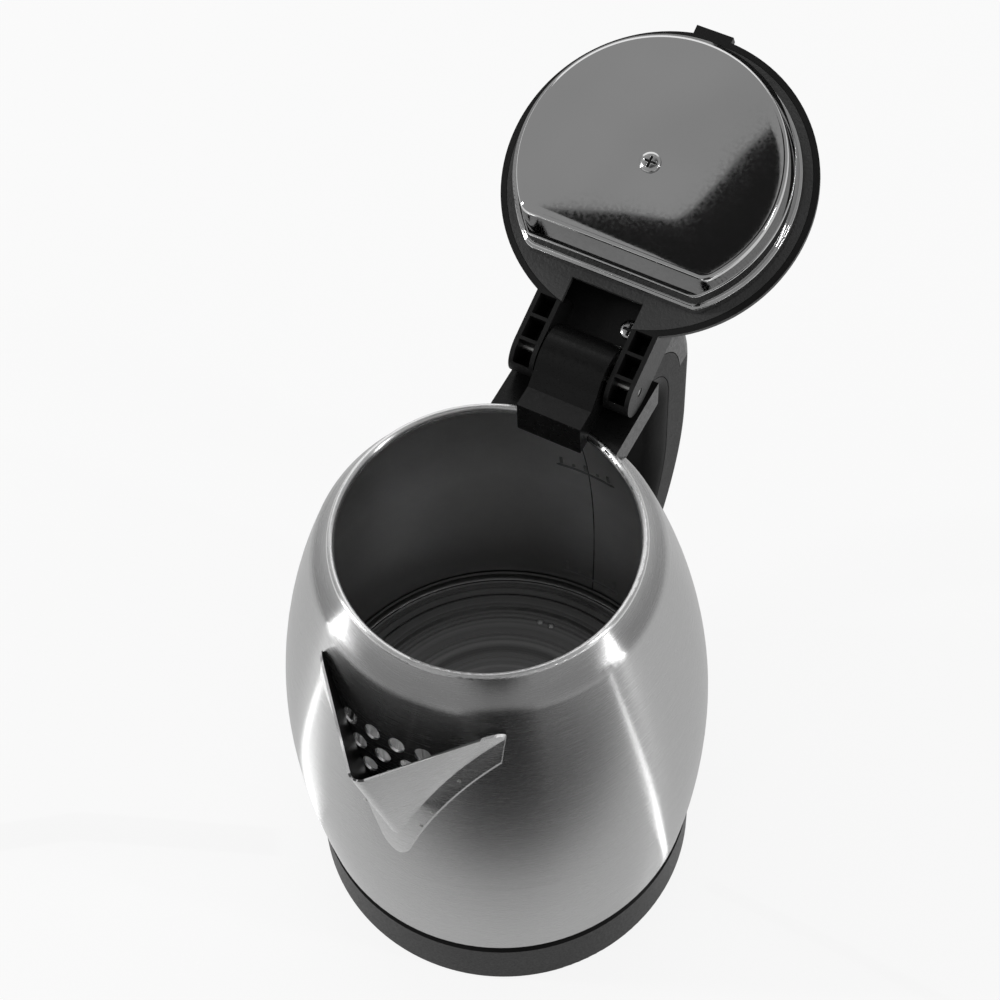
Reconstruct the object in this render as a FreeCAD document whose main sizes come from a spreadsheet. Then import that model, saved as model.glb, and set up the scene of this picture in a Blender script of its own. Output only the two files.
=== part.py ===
import FreeCAD, Part
import math
import os
import Sketcher

# Electric kettle: steel vessel, black handle and base, hinged lid shown open.
# Millimetres, +Z up, origin on the vessel's axis at the table, spout towards -Y, handle towards +Y.

doc = FreeCAD.newDocument("electric_kettle")
sheet = doc.addObject("Spreadsheet::Sheet", "Sizes")
Vector = FreeCAD.Vector


class Size:
    """A length or angle that carries its number and the sheet formula that gives it."""

    def __init__(self, value, formula):
        self.value = value
        self.formula = formula

    def __add__(self, other):
        other = as_size(other)
        return Size(self.value + other.value, f"({self.formula} + {other.formula})")

    def __sub__(self, other):
        other = as_size(other)
        return Size(self.value - other.value, f"({self.formula} - {other.formula})")

    def __mul__(self, other):
        other = as_size(other)
        return Size(self.value * other.value, f"({self.formula} * {other.formula})")

    def __truediv__(self, other):
        other = as_size(other)
        return Size(self.value / other.value, f"({self.formula} / {other.formula})")

    def __radd__(self, other):
        return as_size(other) + self

    def __rsub__(self, other):
        return as_size(other) - self

    def __rmul__(self, other):
        return as_size(other) * self


def as_size(number):
    """Plain numbers such as 0 or 2 used beside sizes."""
    if isinstance(number, Size):
        return number
    return Size(float(number), repr(float(number)))


def root(square):
    return Size(math.sqrt(square.value), f"sqrt({square.formula})")


def sine(angle):
    return Size(math.sin(math.radians(angle.value)), f"sin({angle.formula})")


def cosine(angle):
    return Size(math.cos(math.radians(angle.value)), f"cos({angle.formula})")


def size(alias, value):
    """Write one driving dimension to the sheet and hand it back."""
    size.row += 1
    cell = f"B{size.row}"
    sheet.set(f"A{size.row}", alias)
    sheet.set(cell, str(value))
    sheet.setAlias(cell, alias)
    sheet.recompute()
    return Size(float(sheet.get(alias)), f"Sizes.{alias}")


size.row = 0

# Vessel
rim_height = size("rim_height", 206.0)
rim_radius = size("rim_radius", 50.0)
steel_wall = size("steel_wall", 0.8)
bead_radius = size("bead_radius", 1.2)
neck_length = size("neck_length", 1.4)
shoulder_drop = size("shoulder_drop", 10.5)
shoulder_flare = size("shoulder_flare", 7.7)
shoulder_round = size("shoulder_round", 7.0)
collar_hollow = size("collar_hollow", 24.0)
belly_radius = size("belly_radius", 75.6)
belly_drop = size("belly_drop", 112.0)
foot_tuck = size("foot_tuck", 4.3)
steel_foot_radius = belly_radius - foot_tuck
base_height = size("base_height", 31.0)
floor_rise = size("floor_rise", 26.0)
floor_height = base_height + floor_rise
joint_gap = size("joint_gap", 0.15)

# Strainer and beak
strainer_hole = size("strainer_hole", 3.0)
strainer_pitch = size("strainer_pitch", 9.3)
strainer_drop = size("strainer_drop", 34.0)
strainer_rows = 5
beak_drop = size("beak_drop", 15.0)
beak_reach = size("beak_reach", 90.0)
beak_half_angle = size("beak_half_angle", 42.0)
beak_nose_round = size("beak_nose_round", 4.0)
beak_keel_drop = size("beak_keel_drop", 65.0)
beak_keel_run = size("beak_keel_run", 14.7)
beak_flange = size("beak_flange", 3.6)
beak_half_width = size("beak_half_width", 33.6)
beak_tip_round = size("beak_tip_round", 5.0)

# Floor and heater
floor_thickness = size("floor_thickness", 1.0)
floor_corner = size("floor_corner", 2.5)
floor_flange = size("floor_flange", 3.0)
ring_margin = size("ring_margin", 9.4)
ring_width = size("ring_width", 5.2)
ring_rise = size("ring_rise", 1.0)
spreader_margin = size("spreader_margin", 6.8)
spreader_thickness = size("spreader_thickness", 3.0)
element_margin = size("element_margin", 10.0)
element_tube = size("element_tube", 3.7)
element_arc = size("element_arc", 300.0)
terminal_radius = size("terminal_radius", 2.0)
terminal_length = size("terminal_length", 12.0)

# Base
skirt_wall = size("skirt_wall", 4.0)
skirt_gap = size("skirt_gap", 1.4)
skirt_chamfer = size("skirt_chamfer", 3.2)
skirt_foot_round = size("skirt_foot_round", 2.6)
skirt_spigot = size("skirt_spigot", 6.0)
cover_recess = size("cover_recess", 2.4)
cover_thickness = size("cover_thickness", 2.4)
socket_radius = size("socket_radius", 17.0)
socket_bore = size("socket_bore", 13.2)
socket_depth = size("socket_depth", 18.0)
socket_roof = size("socket_roof", 2.5)
live_ring = size("live_ring", 9.0)
neutral_ring = size("neutral_ring", 5.4)
contact_wall = size("contact_wall", 0.9)
contact_length = size("contact_length", 12.0)
earth_pin_radius = size("earth_pin_radius", 2.2)
control_width = size("control_width", 52.0)
control_depth = size("control_depth", 40.0)
control_height = size("control_height", 20.0)
disc_radius = size("disc_radius", 6.5)
disc_thickness = size("disc_thickness", 0.8)
disc_offset = size("disc_offset", 15.0)
screw_radius = size("screw_radius", 1.5)
screw_head_radius = size("screw_head_radius", 3.0)
screw_head_height = size("screw_head_height", 1.8)
screw_length = size("screw_length", 9.0)
bottom_screw_margin = size("bottom_screw_margin", 11.3)
boss_radius = size("boss_radius", 4.0)

# Hinge and lid, heights measured from the rim
hinge_setback = size("hinge_setback", 16.5)
hinge_back = rim_radius + hinge_setback
hinge_rise = size("hinge_rise", 9.5)
hinge_pin_radius = size("hinge_pin_radius", 1.5)
running_fit = size("running_fit", 0.05)
open_angle = size("open_angle", 158.0)
lid_overhang = size("lid_overhang", 3.5)
lid_radius = rim_radius + lid_overhang
lid_gap = size("lid_gap", 0.5)
lid_wall = size("lid_wall", 2.0)
lid_band = size("lid_band", 2.0)
lid_dome_run = size("lid_dome_run", 20.0)
lid_crown = lid_radius - lid_dome_run
arm_round = size("arm_round", 9.0)
arm_width = size("arm_width", 9.2)
arm_wall = size("arm_wall", 1.6)
arm_rib = size("arm_rib", 1.2)
block_half = size("block_half", 11.7)
block_clear = size("block_clear", 1.3)
block_lap = size("block_lap", 6.5)
block_front = rim_radius - block_lap
block_hang = size("block_hang", 3.0)
block_rise = size("block_rise", 10.5)
block_land = size("block_land", 8.0)
hump_clear = size("hump_clear", 3.2)
notch_clear = size("notch_clear", 3.0)
tab_width = size("tab_width", 13.5)
tab_reach = size("tab_reach", 2.0)
tab_shift = size("tab_shift", 4.0)
tab_height = size("tab_height", 4.0)
inner_plate_thickness = size("inner_plate_thickness", 2.0)
liner_wall = size("liner_wall", 0.7)
liner_clear = size("liner_clear", 1.6)
liner_radius = rim_radius - liner_clear
liner_back_gap = size("liner_back_gap", 6.0)
liner_flat = block_front - liner_back_gap
liner_step = size("liner_step", 1.6)
liner_step_drop = size("liner_step_drop", 3.5)
liner_drop = size("liner_drop", 17.5)
liner_draft = size("liner_draft", 2.9)
liner_face_radius = liner_radius - liner_draft
liner_flat_draft = size("liner_flat_draft", 6.5)
liner_face_flat = liner_flat - liner_flat_draft
liner_corner = size("liner_corner", 6.0)
plate_screw_across = size("plate_screw_across", 8.5)
plate_screw_bite = size("plate_screw_bite", 1.2)

# Handle, heights measured from the rim
handle_width = size("handle_width", 28.0)
handle_reach = size("handle_reach", 55.4)
handle_back = belly_radius + handle_reach
handle_thickness = size("handle_thickness", 27.0)
handle_lower_bend = size("handle_lower_bend", 92.0)
handle_lower_angle = size("handle_lower_angle", 40.0)
handle_edge_round = size("handle_edge_round", 7.0)
handle_wall = size("handle_wall", 3.0)
head_arch = size("head_arch", 40.0)
seam_gap = size("seam_gap", 0.3)
bracket_half = size("bracket_half", 23.4)
bracket_depth = size("bracket_depth", 12.0)
bracket_tail = size("bracket_tail", 12.5)
bracket_back = hinge_back + bracket_tail
arm_clear = size("arm_clear", 0.8)
heel_rise = size("heel_rise", 5.0)
handle_foot = base_height + heel_rise
heel_reach = size("heel_reach", 9.7)
heel_back = belly_radius + heel_reach
seam_drop = size("seam_drop", 6.0)
front_depth = size("front_depth", 6.0)
hump_start = size("hump_start", 25.0)
hump_end = size("hump_end", 15.0)
mount_thickness = size("mount_thickness", 1.5)
bracket_screw_across = size("bracket_screw_across", 17.5)

# Switch, steam duct and leads
rocker_margin = size("rocker_margin", 3.8)
rocker_width = handle_width - 2 * (handle_wall + rocker_margin)
rocker_radius = size("rocker_radius", 12.5)
rocker_half_angle = size("rocker_half_angle", 36.0)
rocker_swing = size("rocker_swing", 14.0)
rocker_heel = size("rocker_heel", 3.0)
rocker_depth = size("rocker_depth", 9.0)
rocker_clear = size("rocker_clear", 0.6)
rocker_pin_radius = size("rocker_pin_radius", 1.2)
lever_reach = size("lever_reach", 11.0)
lever_thickness = size("lever_thickness", 1.6)
lever_pin_radius = size("lever_pin_radius", 0.8)
switch_length = size("switch_length", 13.0)
switch_depth = size("switch_depth", 14.0)
switch_clear = size("switch_clear", 2.0)
steam_radius = size("steam_radius", 4.0)
steam_wall = size("steam_wall", 0.8)
lead_radius = size("lead_radius", 1.4)
lead_rise = size("lead_rise", 15.0)
lead_level = base_height + lead_rise
lead_opening = size("lead_opening", 6.0)

# Share of a straight run that the bend at its end may take up
bend_share = 0.45


def bind(thing, name, amount):
    """Tie one property to the sheet."""
    thing.setExpression(name, as_size(amount).formula)


def place(thing, x=0, y=0, z=0):
    """Tie a position to the sheet."""
    for axis, amount in (("x", x), ("y", y), ("z", z)):
        bind(thing, f"Placement.Base.{axis}", amount)
    return thing


def arc_through(start, end, radius, turn):
    """Arc shorter than a half circle; turn is +1 anticlockwise, -1 clockwise."""
    middle = (start + end) * 0.5
    along = end - start
    half = along.Length * 0.5
    height = math.sqrt(max(radius * radius - half * half, 0.0))
    normal = Vector(-along.y, along.x, 0) * (1.0 / along.Length)
    centre = middle + normal * (height * turn)
    apex = centre - normal * (radius * turn)
    return Part.Arc(start, apex, end) if turn > 0 else Part.Arc(end, apex, start)


def draw_loop(sketch, loop):
    """Closed outline. A vertex is (x, y) before a line, or (x, y, radius, turn) before an arc."""
    points = [Vector(as_size(v[0]).value, as_size(v[1]).value, 0) for v in loop]
    ends = []
    for number, vertex in enumerate(loop):
        start = points[number]
        end = points[(number + 1) % len(loop)]
        if len(vertex) == 2:
            index = sketch.addGeometry(Part.LineSegment(start, end), False)
            ends.append((index, 1, 2))
        else:
            index = sketch.addGeometry(arc_through(start, end, as_size(vertex[2]).value, vertex[3]), False)
            ends.append((index, 1, 2) if vertex[3] > 0 else (index, 2, 1))
    for number in range(len(loop)):
        index, begin, finish = ends[number]
        following, following_begin = ends[(number + 1) % len(loop)][:2]
        sketch.addConstraint(Sketcher.Constraint("Coincident", index, finish, following, following_begin))
    for number, vertex in enumerate(loop):
        index, begin, finish = ends[number]
        for kind, amount in (("DistanceX", vertex[0]), ("DistanceY", vertex[1])):
            amount = as_size(amount)
            rule = sketch.addConstraint(Sketcher.Constraint(kind, -1, 1, index, begin, amount.value))
            sketch.setExpression(f"Constraints[{rule}]", amount.formula)
        if len(vertex) == 4:
            amount = as_size(vertex[2])
            rule = sketch.addConstraint(Sketcher.Constraint("Radius", index, amount.value))
            sketch.setExpression(f"Constraints[{rule}]", amount.formula)


def draw_circle(sketch, x, y, radius):
    """Circle whose centre and radius are tied to the sheet."""
    x, y, radius = as_size(x), as_size(y), as_size(radius)
    index = sketch.addGeometry(Part.Circle(Vector(x.value, y.value, 0), Vector(0, 0, 1), radius.value), False)
    for kind, amount in (("DistanceX", x), ("DistanceY", y)):
        rule = sketch.addConstraint(Sketcher.Constraint(kind, -1, 1, index, 3, amount.value))
        sketch.setExpression(f"Constraints[{rule}]", amount.formula)
    rule = sketch.addConstraint(Sketcher.Constraint("Radius", index, radius.value))
    sketch.setExpression(f"Constraints[{rule}]", radius.formula)


def new_body(name):
    return doc.addObject("PartDesign::Body", name)


def new_sketch(body, plane, loops=(), circles=(), offset=0):
    """Sketch on one of the body's own planes, moved along that plane's normal by offset."""
    sketch = body.newObject("Sketcher::SketchObject", f"{body.Name}_outline")
    support = [feature for feature in body.Origin.OriginFeatures if feature.Role == plane][0]
    sketch.AttachmentSupport = [(support, "")]
    sketch.MapMode = "FlatFace"
    bind(sketch, "AttachmentOffset.Base.z", offset)
    for loop in loops:
        draw_loop(sketch, loop)
    for circle in circles:
        draw_circle(sketch, *circle)
    return sketch


def add_feature(body, kind, sketch, length=None, symmetric=False, reverse=False):
    """Pad or pocket of a sketch."""
    feature = body.newObject(f"PartDesign::{kind}", f"{body.Name}_{kind.lower()}")
    feature.Profile = sketch
    feature.Reversed = reverse
    if length is None:
        feature.Type = "ThroughAll"
    else:
        bind(feature, "Length", length)
    if symmetric:
        feature.SideType = "Symmetric"
    return feature


def revolved(name, loop):
    """Ring or cup turned about the vertical axis; the outline is in (radius, height)."""
    body = new_body(name)
    sketch = new_sketch(body, "XZ_Plane", [loop])
    turn = body.newObject("PartDesign::Revolution", f"{name}_turn")
    turn.Profile = sketch
    turn.ReferenceAxis = (sketch, ["V_Axis"])
    turn.Angle = 360
    return body


def groove(body, loop):
    """Hollow turned about the vertical axis; the outline is in (radius, height)."""
    sketch = new_sketch(body, "XZ_Plane", [loop])
    turn = body.newObject("PartDesign::Groove", f"{body.Name}_groove")
    turn.Profile = sketch
    turn.ReferenceAxis = (sketch, ["V_Axis"])
    turn.Angle = 360
    return turn


def side_prism(name, loops, width, circles=()):
    """Side outline in (back, height) carried symmetrically across the kettle."""
    body = new_body(name)
    add_feature(body, "Pad", new_sketch(body, "YZ_Plane", loops, circles), width, symmetric=True)
    return body


def rounded(body, radius, chosen):
    """Fillet of the edges that the test picks."""
    doc.recompute()
    base = body.Tip
    names = [f"Edge{n}" for n, edge in enumerate(base.Shape.Edges, 1) if chosen(edge)]
    fillet = body.newObject("PartDesign::Fillet", f"{body.Name}_round")
    fillet.Base = (base, names)
    bind(fillet, "Radius", radius)
    return fillet


def cylinder(name, radius, height, x=0, y=0, z=0, direction=None):
    solid = doc.addObject("Part::Cylinder", name)
    bind(solid, "Radius", radius)
    bind(solid, "Height", height)
    if direction is not None:
        solid.Placement = FreeCAD.Placement(Vector(0, 0, 0), FreeCAD.Rotation(Vector(0, 0, 1), direction))
    return place(solid, x, y, z)


def box(name, low, high):
    solid = doc.addObject("Part::Box", name)
    for side, first, last in zip(("Length", "Width", "Height"), low, high):
        bind(solid, side, as_size(last) - as_size(first))
    return place(solid, *low)


def cut(name, base, tool):
    solid = doc.addObject("Part::Cut", name)
    solid.Base = base
    solid.Tool = tool
    return solid


def fuse(name, *pieces):
    solid = doc.addObject("Part::MultiFuse", name)
    solid.Shapes = list(pieces)
    return solid


def common(name, *pieces):
    solid = doc.addObject("Part::MultiCommon", name)
    solid.Shapes = list(pieces)
    return solid


def group(name, *pieces):
    """Several separate solids of one kind under one name."""
    bundle = doc.addObject("Part::Compound", name)
    bundle.Links = list(pieces)
    return bundle


def at_height(edge, height, radius=None):
    """True for a level edge at one height, and at one radius if given."""
    bounds = edge.BoundBox
    level = abs(bounds.ZMin - height.value) < 1e-4 and abs(bounds.ZMax - height.value) < 1e-4
    return level and (radius is None or abs(bounds.XMax - radius.value) < 1e-3)


# Levels and radii that several pieces share
bead_level = rim_height - bead_radius
neck_level = bead_level - neck_length
neck_radius = rim_radius + steel_wall
shoulder_level = rim_height - shoulder_drop
shoulder_radius = neck_radius + shoulder_flare
belly_level = rim_height - belly_drop


def bulge(run, drop):
    """Radius of an arc that falls away by drop over run from a level tangent."""
    return (run * run + drop * drop) / (2 * drop)


upper_bulge = bulge(belly_level - shoulder_level, belly_radius - shoulder_radius)
lower_bulge = bulge(belly_level - base_height, belly_radius - steel_foot_radius)


def vessel_radius(level):
    """Outer radius of the steel below the belly."""
    run = belly_level - level
    return belly_radius - lower_bulge + root(lower_bulge * lower_bulge - run * run)


def vessel_outside(extra):
    """Outer line of the vessel from its foot to the top of the bead, swollen by extra."""
    bead = bead_radius + extra
    bead_centre = rim_radius + bead_radius
    return [
        (steel_foot_radius + extra, base_height, lower_bulge, 1),
        (belly_radius + extra, belly_level, upper_bulge, 1),
        (shoulder_radius + extra, shoulder_level, collar_hollow, -1),
        (neck_radius + extra, neck_level),
        (bead_centre, bead_level - bead, bead, 1),
        (bead_centre + bead, bead_level, bead, 1),
    ]


def vessel_wall(extra):
    """Closed outline of the steel wall, swollen by extra on both faces."""
    bead = bead_radius + extra
    inset = steel_wall + extra
    inside = [
        (rim_radius + bead_radius, rim_height + extra, bead, 1),
        (rim_radius - extra, bead_level),
        (rim_radius - extra, neck_level, collar_hollow, 1),
        (shoulder_radius - inset, shoulder_level, upper_bulge, -1),
        (belly_radius - inset, belly_level, lower_bulge, -1),
        (steel_foot_radius - inset, base_height),
    ]
    return vessel_outside(extra) + inside


def vessel_block(name, extra):
    """Whole vessel as one solid, used to trim what stands against it."""
    top = rim_height + extra
    axis = [(rim_radius + bead_radius, top), (0, top), (0, base_height)]
    return revolved(name, vessel_outside(as_size(extra)) + axis)


def strainer_circles():
    """Triangle of holes, one fewer in each lower row."""
    row_step = strainer_pitch * math.sqrt(3) / 2
    circles = []
    for row in range(strainer_rows):
        count = strainer_rows - row
        for number in range(count):
            across = strainer_pitch * (number - (count - 1) / 2)
            circles.append((across, rim_height - strainer_drop - row_step * row, strainer_hole))
    return circles


def make_body_shell():
    shell = revolved("body_shell", vessel_wall(as_size(0)))
    inner_shoulder = shoulder_radius - steel_wall
    rounded(shell, shoulder_round, lambda edge: at_height(edge, shoulder_level, shoulder_radius)
            or at_height(edge, shoulder_level, inner_shoulder))
    add_feature(shell, "Pocket", new_sketch(shell, "XZ_Plane", circles=strainer_circles()), reverse=True)
    lead_hole = [(0, lead_level, lead_opening)]
    add_feature(shell, "Pocket", new_sketch(shell, "XZ_Plane", circles=lead_hole))
    return shell


def beak_outline(spread):
    """Plan of the V beak, its sides moved outward by spread; the arms run on into the vessel."""
    slope = cosine(beak_half_angle) / sine(beak_half_angle)
    nose_round = beak_nose_round + spread
    nose_centre = -1 * beak_reach + beak_nose_round
    touch_x = nose_round * cosine(beak_half_angle)
    touch_y = nose_centre - nose_round * sine(beak_half_angle)
    arm = 2 * beak_half_width
    back_y = touch_y + arm * slope
    left = [(-1 * touch_x, touch_y, nose_round, 1), (touch_x, touch_y)]
    return left + [(touch_x + arm, back_y), (-1 * touch_x - arm, back_y)]


def beak_prism(name, spread):
    """The V carried down along the sloping keel."""
    body = new_body(name)
    lip = rim_height - beak_drop
    sketch = new_sketch(body, "XY_Plane", [beak_outline(as_size(spread))], offset=lip)
    pad = add_feature(body, "Pad", sketch, 2 * beak_keel_drop)
    pad.UseCustomVector = True
    pad.AlongSketchNormal = True
    bind(pad, "Direction.y", beak_keel_run)
    bind(pad, "Direction.z", -1 * beak_keel_drop)
    return body


def make_beak_span():
    """Front outline that ends the beak's two tips in a round."""
    body = new_body("beak_span")
    lip = rim_height - beak_drop
    inner = beak_half_width - beak_tip_round
    outline = [
        (-1 * beak_half_width, base_height),
        (beak_half_width, base_height),
        (beak_half_width, lip - beak_tip_round, beak_tip_round, 1),
        (inner, lip),
        (-1 * inner, lip, beak_tip_round, 1),
        (-1 * beak_half_width, lip - beak_tip_round),
    ]
    add_feature(body, "Pad", new_sketch(body, "XZ_Plane", [outline]), 4 * beak_reach, symmetric=True)
    return body


def make_spout_beak():
    vessel = vessel_block("vessel_for_beak", 0)
    skin = vessel_block("flange_skin", steel_wall)
    wall = cut("beak_wall", beak_prism("beak_outer", 0), beak_prism("beak_inner", -1 * steel_wall))
    wing = common("beak_wing", skin, beak_prism("beak_wide", beak_flange))
    wing_open = cut("beak_wing_open", wing, beak_prism("beak_passage", -1 * steel_wall))
    joined = fuse("beak_joined", wall, wing_open)
    trimmed = common("beak_trimmed", joined, make_beak_span())
    return cut("spout_beak", trimmed, vessel)


floor_radius = vessel_radius(floor_height) - steel_wall - joint_gap
ring_outer = floor_radius - ring_margin
ring_inner = ring_outer - ring_width
spreader_radius = ring_inner - spreader_margin
element_ring = spreader_radius - element_margin


def make_floor_plate():
    outer = floor_radius
    inner = outer - floor_thickness
    under = floor_height - floor_thickness
    ramp = ring_rise
    loop = [
        (0, under),
        (ring_inner - ramp, under),
        (ring_inner, under + ring_rise),
        (ring_outer, under + ring_rise),
        (ring_outer + ramp, under),
        (outer - floor_corner - floor_thickness, under, floor_corner + floor_thickness, 1),
        (outer, floor_height + floor_corner),
        (outer, floor_height + floor_flange),
        (inner, floor_height + floor_flange),
        (inner, floor_height + floor_corner, floor_corner, -1),
        (inner - floor_corner, floor_height),
        (ring_outer + ramp, floor_height),
        (ring_outer, floor_height + ring_rise),
        (ring_inner, floor_height + ring_rise),
        (ring_inner - ramp, floor_height),
        (0, floor_height),
    ]
    return revolved("floor_plate", loop)


spreader_top = floor_height - floor_thickness
spreader_bottom = spreader_top - spreader_thickness
element_level = spreader_bottom - element_tube
socket_top = cover_recess + socket_depth + socket_roof
control_top = socket_top + control_height

# Cold pins stand at the two ends of the heating ring, which open towards the handle
element_gap = (360 - element_arc) / 2
terminal_x = element_ring * sine(element_gap) - terminal_radius * cosine(element_gap)
terminal_y = element_ring * cosine(element_gap) + terminal_radius * sine(element_gap)
terminal_low = element_level + terminal_radius - terminal_length


def control_screw_spots():
    reach = control_width / 2 - 2 * screw_head_radius
    side = control_depth / 2 - 2 * screw_head_radius
    return [(reach, -1 * side), (-1 * reach, -1 * side), (-1 * reach, side)]


def make_heat_spreader():
    body = new_body("heat_spreader")
    plate = new_sketch(body, "XY_Plane", circles=[(0, 0, spreader_radius)], offset=spreader_bottom)
    add_feature(body, "Pad", plate, spreader_thickness)
    holes = [(x, y, screw_radius) for x, y in control_screw_spots()]
    sketch = new_sketch(body, "XY_Plane", circles=holes, offset=spreader_bottom)
    add_feature(body, "Pocket", sketch, spreader_thickness / 2, reverse=True)
    return body


def make_heating_element():
    ring = doc.addObject("Part::Torus", "heating_element")
    bind(ring, "Radius1", element_ring)
    bind(ring, "Radius2", element_tube)
    bind(ring, "Angle3", element_arc)
    ring.Placement = FreeCAD.Placement(Vector(0, 0, 0), FreeCAD.Rotation(Vector(0, 0, 1), 0))
    bind(ring, "Placement.Rotation.Angle", 90 + element_gap)
    return place(ring, z=element_level)


def make_element_terminals():
    pins = [cylinder(f"terminal_{side + 1}", terminal_radius, terminal_length, terminal_x * side, terminal_y,
                     terminal_low) for side in (-1, 1)]
    return group("element_terminals", *pins)


skirt_inside = steel_foot_radius - skirt_wall
bottom_screw_ring = skirt_inside - bottom_screw_margin
groove_radius = steel_foot_radius - skirt_chamfer
cover_top = cover_recess + cover_thickness
web_level = base_height - skirt_gap - 2 * skirt_chamfer


def ring_spots(radius, count):
    """Evenly spaced places on a circle, the first towards the spout."""
    turns = [as_size(360.0 * number / count) for number in range(count)]
    return [(radius * sine(turn), -1 * radius * cosine(turn)) for turn in turns]


def make_base_skirt():
    shelf = base_height - skirt_gap
    spigot = steel_foot_radius - steel_wall - joint_gap
    spigot_inside = groove_radius - skirt_wall
    web_inside = bottom_screw_ring - boss_radius
    loop = [
        (steel_foot_radius - skirt_foot_round, 0, skirt_foot_round, 1),
        (steel_foot_radius, skirt_foot_round),
        (steel_foot_radius, shelf - skirt_chamfer),
        (groove_radius, shelf),
        (groove_radius, base_height),
        (spigot, base_height + spigot - groove_radius),
        (spigot, base_height + skirt_spigot),
        (spigot_inside, base_height + skirt_spigot),
        (spigot_inside, web_level + skirt_wall),
        (web_inside, web_level + skirt_wall),
        (web_inside, web_level),
        (skirt_inside, web_level),
        (skirt_inside, 0),
    ]
    body = revolved("base_skirt", loop)
    spots = ring_spots(bottom_screw_ring, 3)
    bosses = new_sketch(body, "XY_Plane", circles=[(x, y, boss_radius) for x, y in spots], offset=cover_top)
    add_feature(body, "Pad", bosses, web_level + skirt_wall - cover_top)
    pilots = new_sketch(body, "XY_Plane", circles=[(x, y, screw_radius) for x, y in spots], offset=cover_top)
    add_feature(body, "Pocket", pilots, screw_length, reverse=True)
    return body


def make_bottom_cover():
    body = new_body("bottom_cover")
    disc = [(0, 0, skirt_inside - joint_gap), (0, 0, socket_radius + joint_gap)]
    add_feature(body, "Pad", new_sketch(body, "XY_Plane", circles=disc, offset=cover_recess), cover_thickness)
    holes = [(x, y, screw_radius) for x, y in ring_spots(bottom_screw_ring, 3)]
    sketch = new_sketch(body, "XY_Plane", circles=holes, offset=cover_recess)
    add_feature(body, "Pocket", sketch, reverse=True)
    return body


def upright_screw(name, x, y, under_head, length, upward=True):
    """Pan-head screw; its head's seat is at under_head and the shank runs up or down from it."""
    shank_base = under_head if upward else under_head - length
    head_base = under_head - screw_head_height if upward else under_head
    shank = cylinder(f"{name}_shank", screw_radius, length, x, y, shank_base)
    head = cylinder(f"{name}_head", screw_head_radius, screw_head_height, x, y, head_base)
    return fuse(name, shank, head)


def make_bottom_screws():
    screws = []
    reach = cover_thickness + screw_length
    for number, (x, y) in enumerate(ring_spots(bottom_screw_ring, 3)):
        screws.append(upright_screw(f"bottom_screw_{number}", x, y, cover_recess, reach))
    return group("bottom_screws", *screws)


def make_coupler_socket():
    collar = socket_radius + cover_thickness
    roof = socket_top - socket_roof
    loop = [
        (socket_bore, cover_recess),
        (socket_radius, cover_recess),
        (socket_radius, cover_top),
        (collar, cover_top),
        (collar, cover_top + cover_thickness),
        (socket_radius, cover_top + cover_thickness),
        (socket_radius, socket_top),
        (0, socket_top),
        (0, roof),
        (socket_bore, roof),
    ]
    return revolved("coupler_socket", loop)


def make_coupler_contacts():
    roof = socket_top - socket_roof
    pin = cylinder("earth_contact", earth_pin_radius, contact_length, z=roof - contact_length)
    rings = []
    for name, radius in (("live_contact", live_ring), ("neutral_contact", neutral_ring)):
        outside = cylinder(f"{name}_outside", radius, contact_length, z=roof - contact_length)
        inside = cylinder(f"{name}_inside", radius - contact_wall, contact_length, z=roof - contact_length)
        rings.append(cut(name, outside, inside))
    return group("coupler_contacts", pin, *rings)


disc_level = spreader_bottom - seam_gap - disc_thickness


def make_control_body():
    body = new_body("control_body")
    half_x = control_width / 2
    half_y = control_depth / 2
    corner = screw_head_radius
    plan = [
        (-1 * half_x, corner - half_y, corner, 1),
        (corner - half_x, -1 * half_y),
        (half_x - corner, -1 * half_y, corner, 1),
        (half_x, corner - half_y),
        (half_x, half_y - corner, corner, 1),
        (half_x - corner, half_y),
        (corner - half_x, half_y, corner, 1),
        (-1 * half_x, half_y - corner),
    ]
    add_feature(body, "Pad", new_sketch(body, "XY_Plane", [plan], offset=socket_top), control_height)
    posts = [(disc_offset, 0, disc_radius), (-1 * disc_offset, 0, disc_radius)]
    sketch = new_sketch(body, "XY_Plane", circles=posts, offset=control_top)
    add_feature(body, "Pad", sketch, disc_level - control_top)
    holes = [(x, y, screw_radius + running_fit) for x, y in control_screw_spots()]
    add_feature(body, "Pocket", new_sketch(body, "XY_Plane", circles=holes, offset=socket_top), reverse=True)
    return body


def make_bimetal_discs():
    discs = [cylinder(f"bimetal_disc_{side + 1}", disc_radius, disc_thickness,
                      x=disc_offset * side, z=disc_level) for side in (-1, 1)]
    return group("bimetal_discs", *discs)


def make_control_screws():
    length = spreader_bottom + spreader_thickness / 2 - socket_top
    screws = [upright_screw(f"control_screw_{number}", x, y, socket_top, length)
              for number, (x, y) in enumerate(control_screw_spots())]
    return group("control_screws", *screws)


# Hinge and lid in the closed lid's own frame, where height zero is the rim
lid_top = hinge_rise + arm_round
lid_ceiling = lid_top - lid_wall
lid_lip = lid_gap + lid_band
dome_rise = lid_top - lid_lip
dome_radius = (lid_dome_run * lid_dome_run + dome_rise * dome_rise) / (2 * dome_rise)
dome_inner = dome_radius - lid_wall
dome_low = lid_lip - lid_top + dome_radius
lid_inside = lid_crown + root(dome_inner * dome_inner - dome_low * dome_low)
arm_inner = block_half + block_clear
arm_outer = arm_inner + arm_width
ledge = hinge_rise - arm_round - arm_clear
notch_front = block_front - notch_clear
plate_screw_back = (notch_front + lid_radius) / 2


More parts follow.
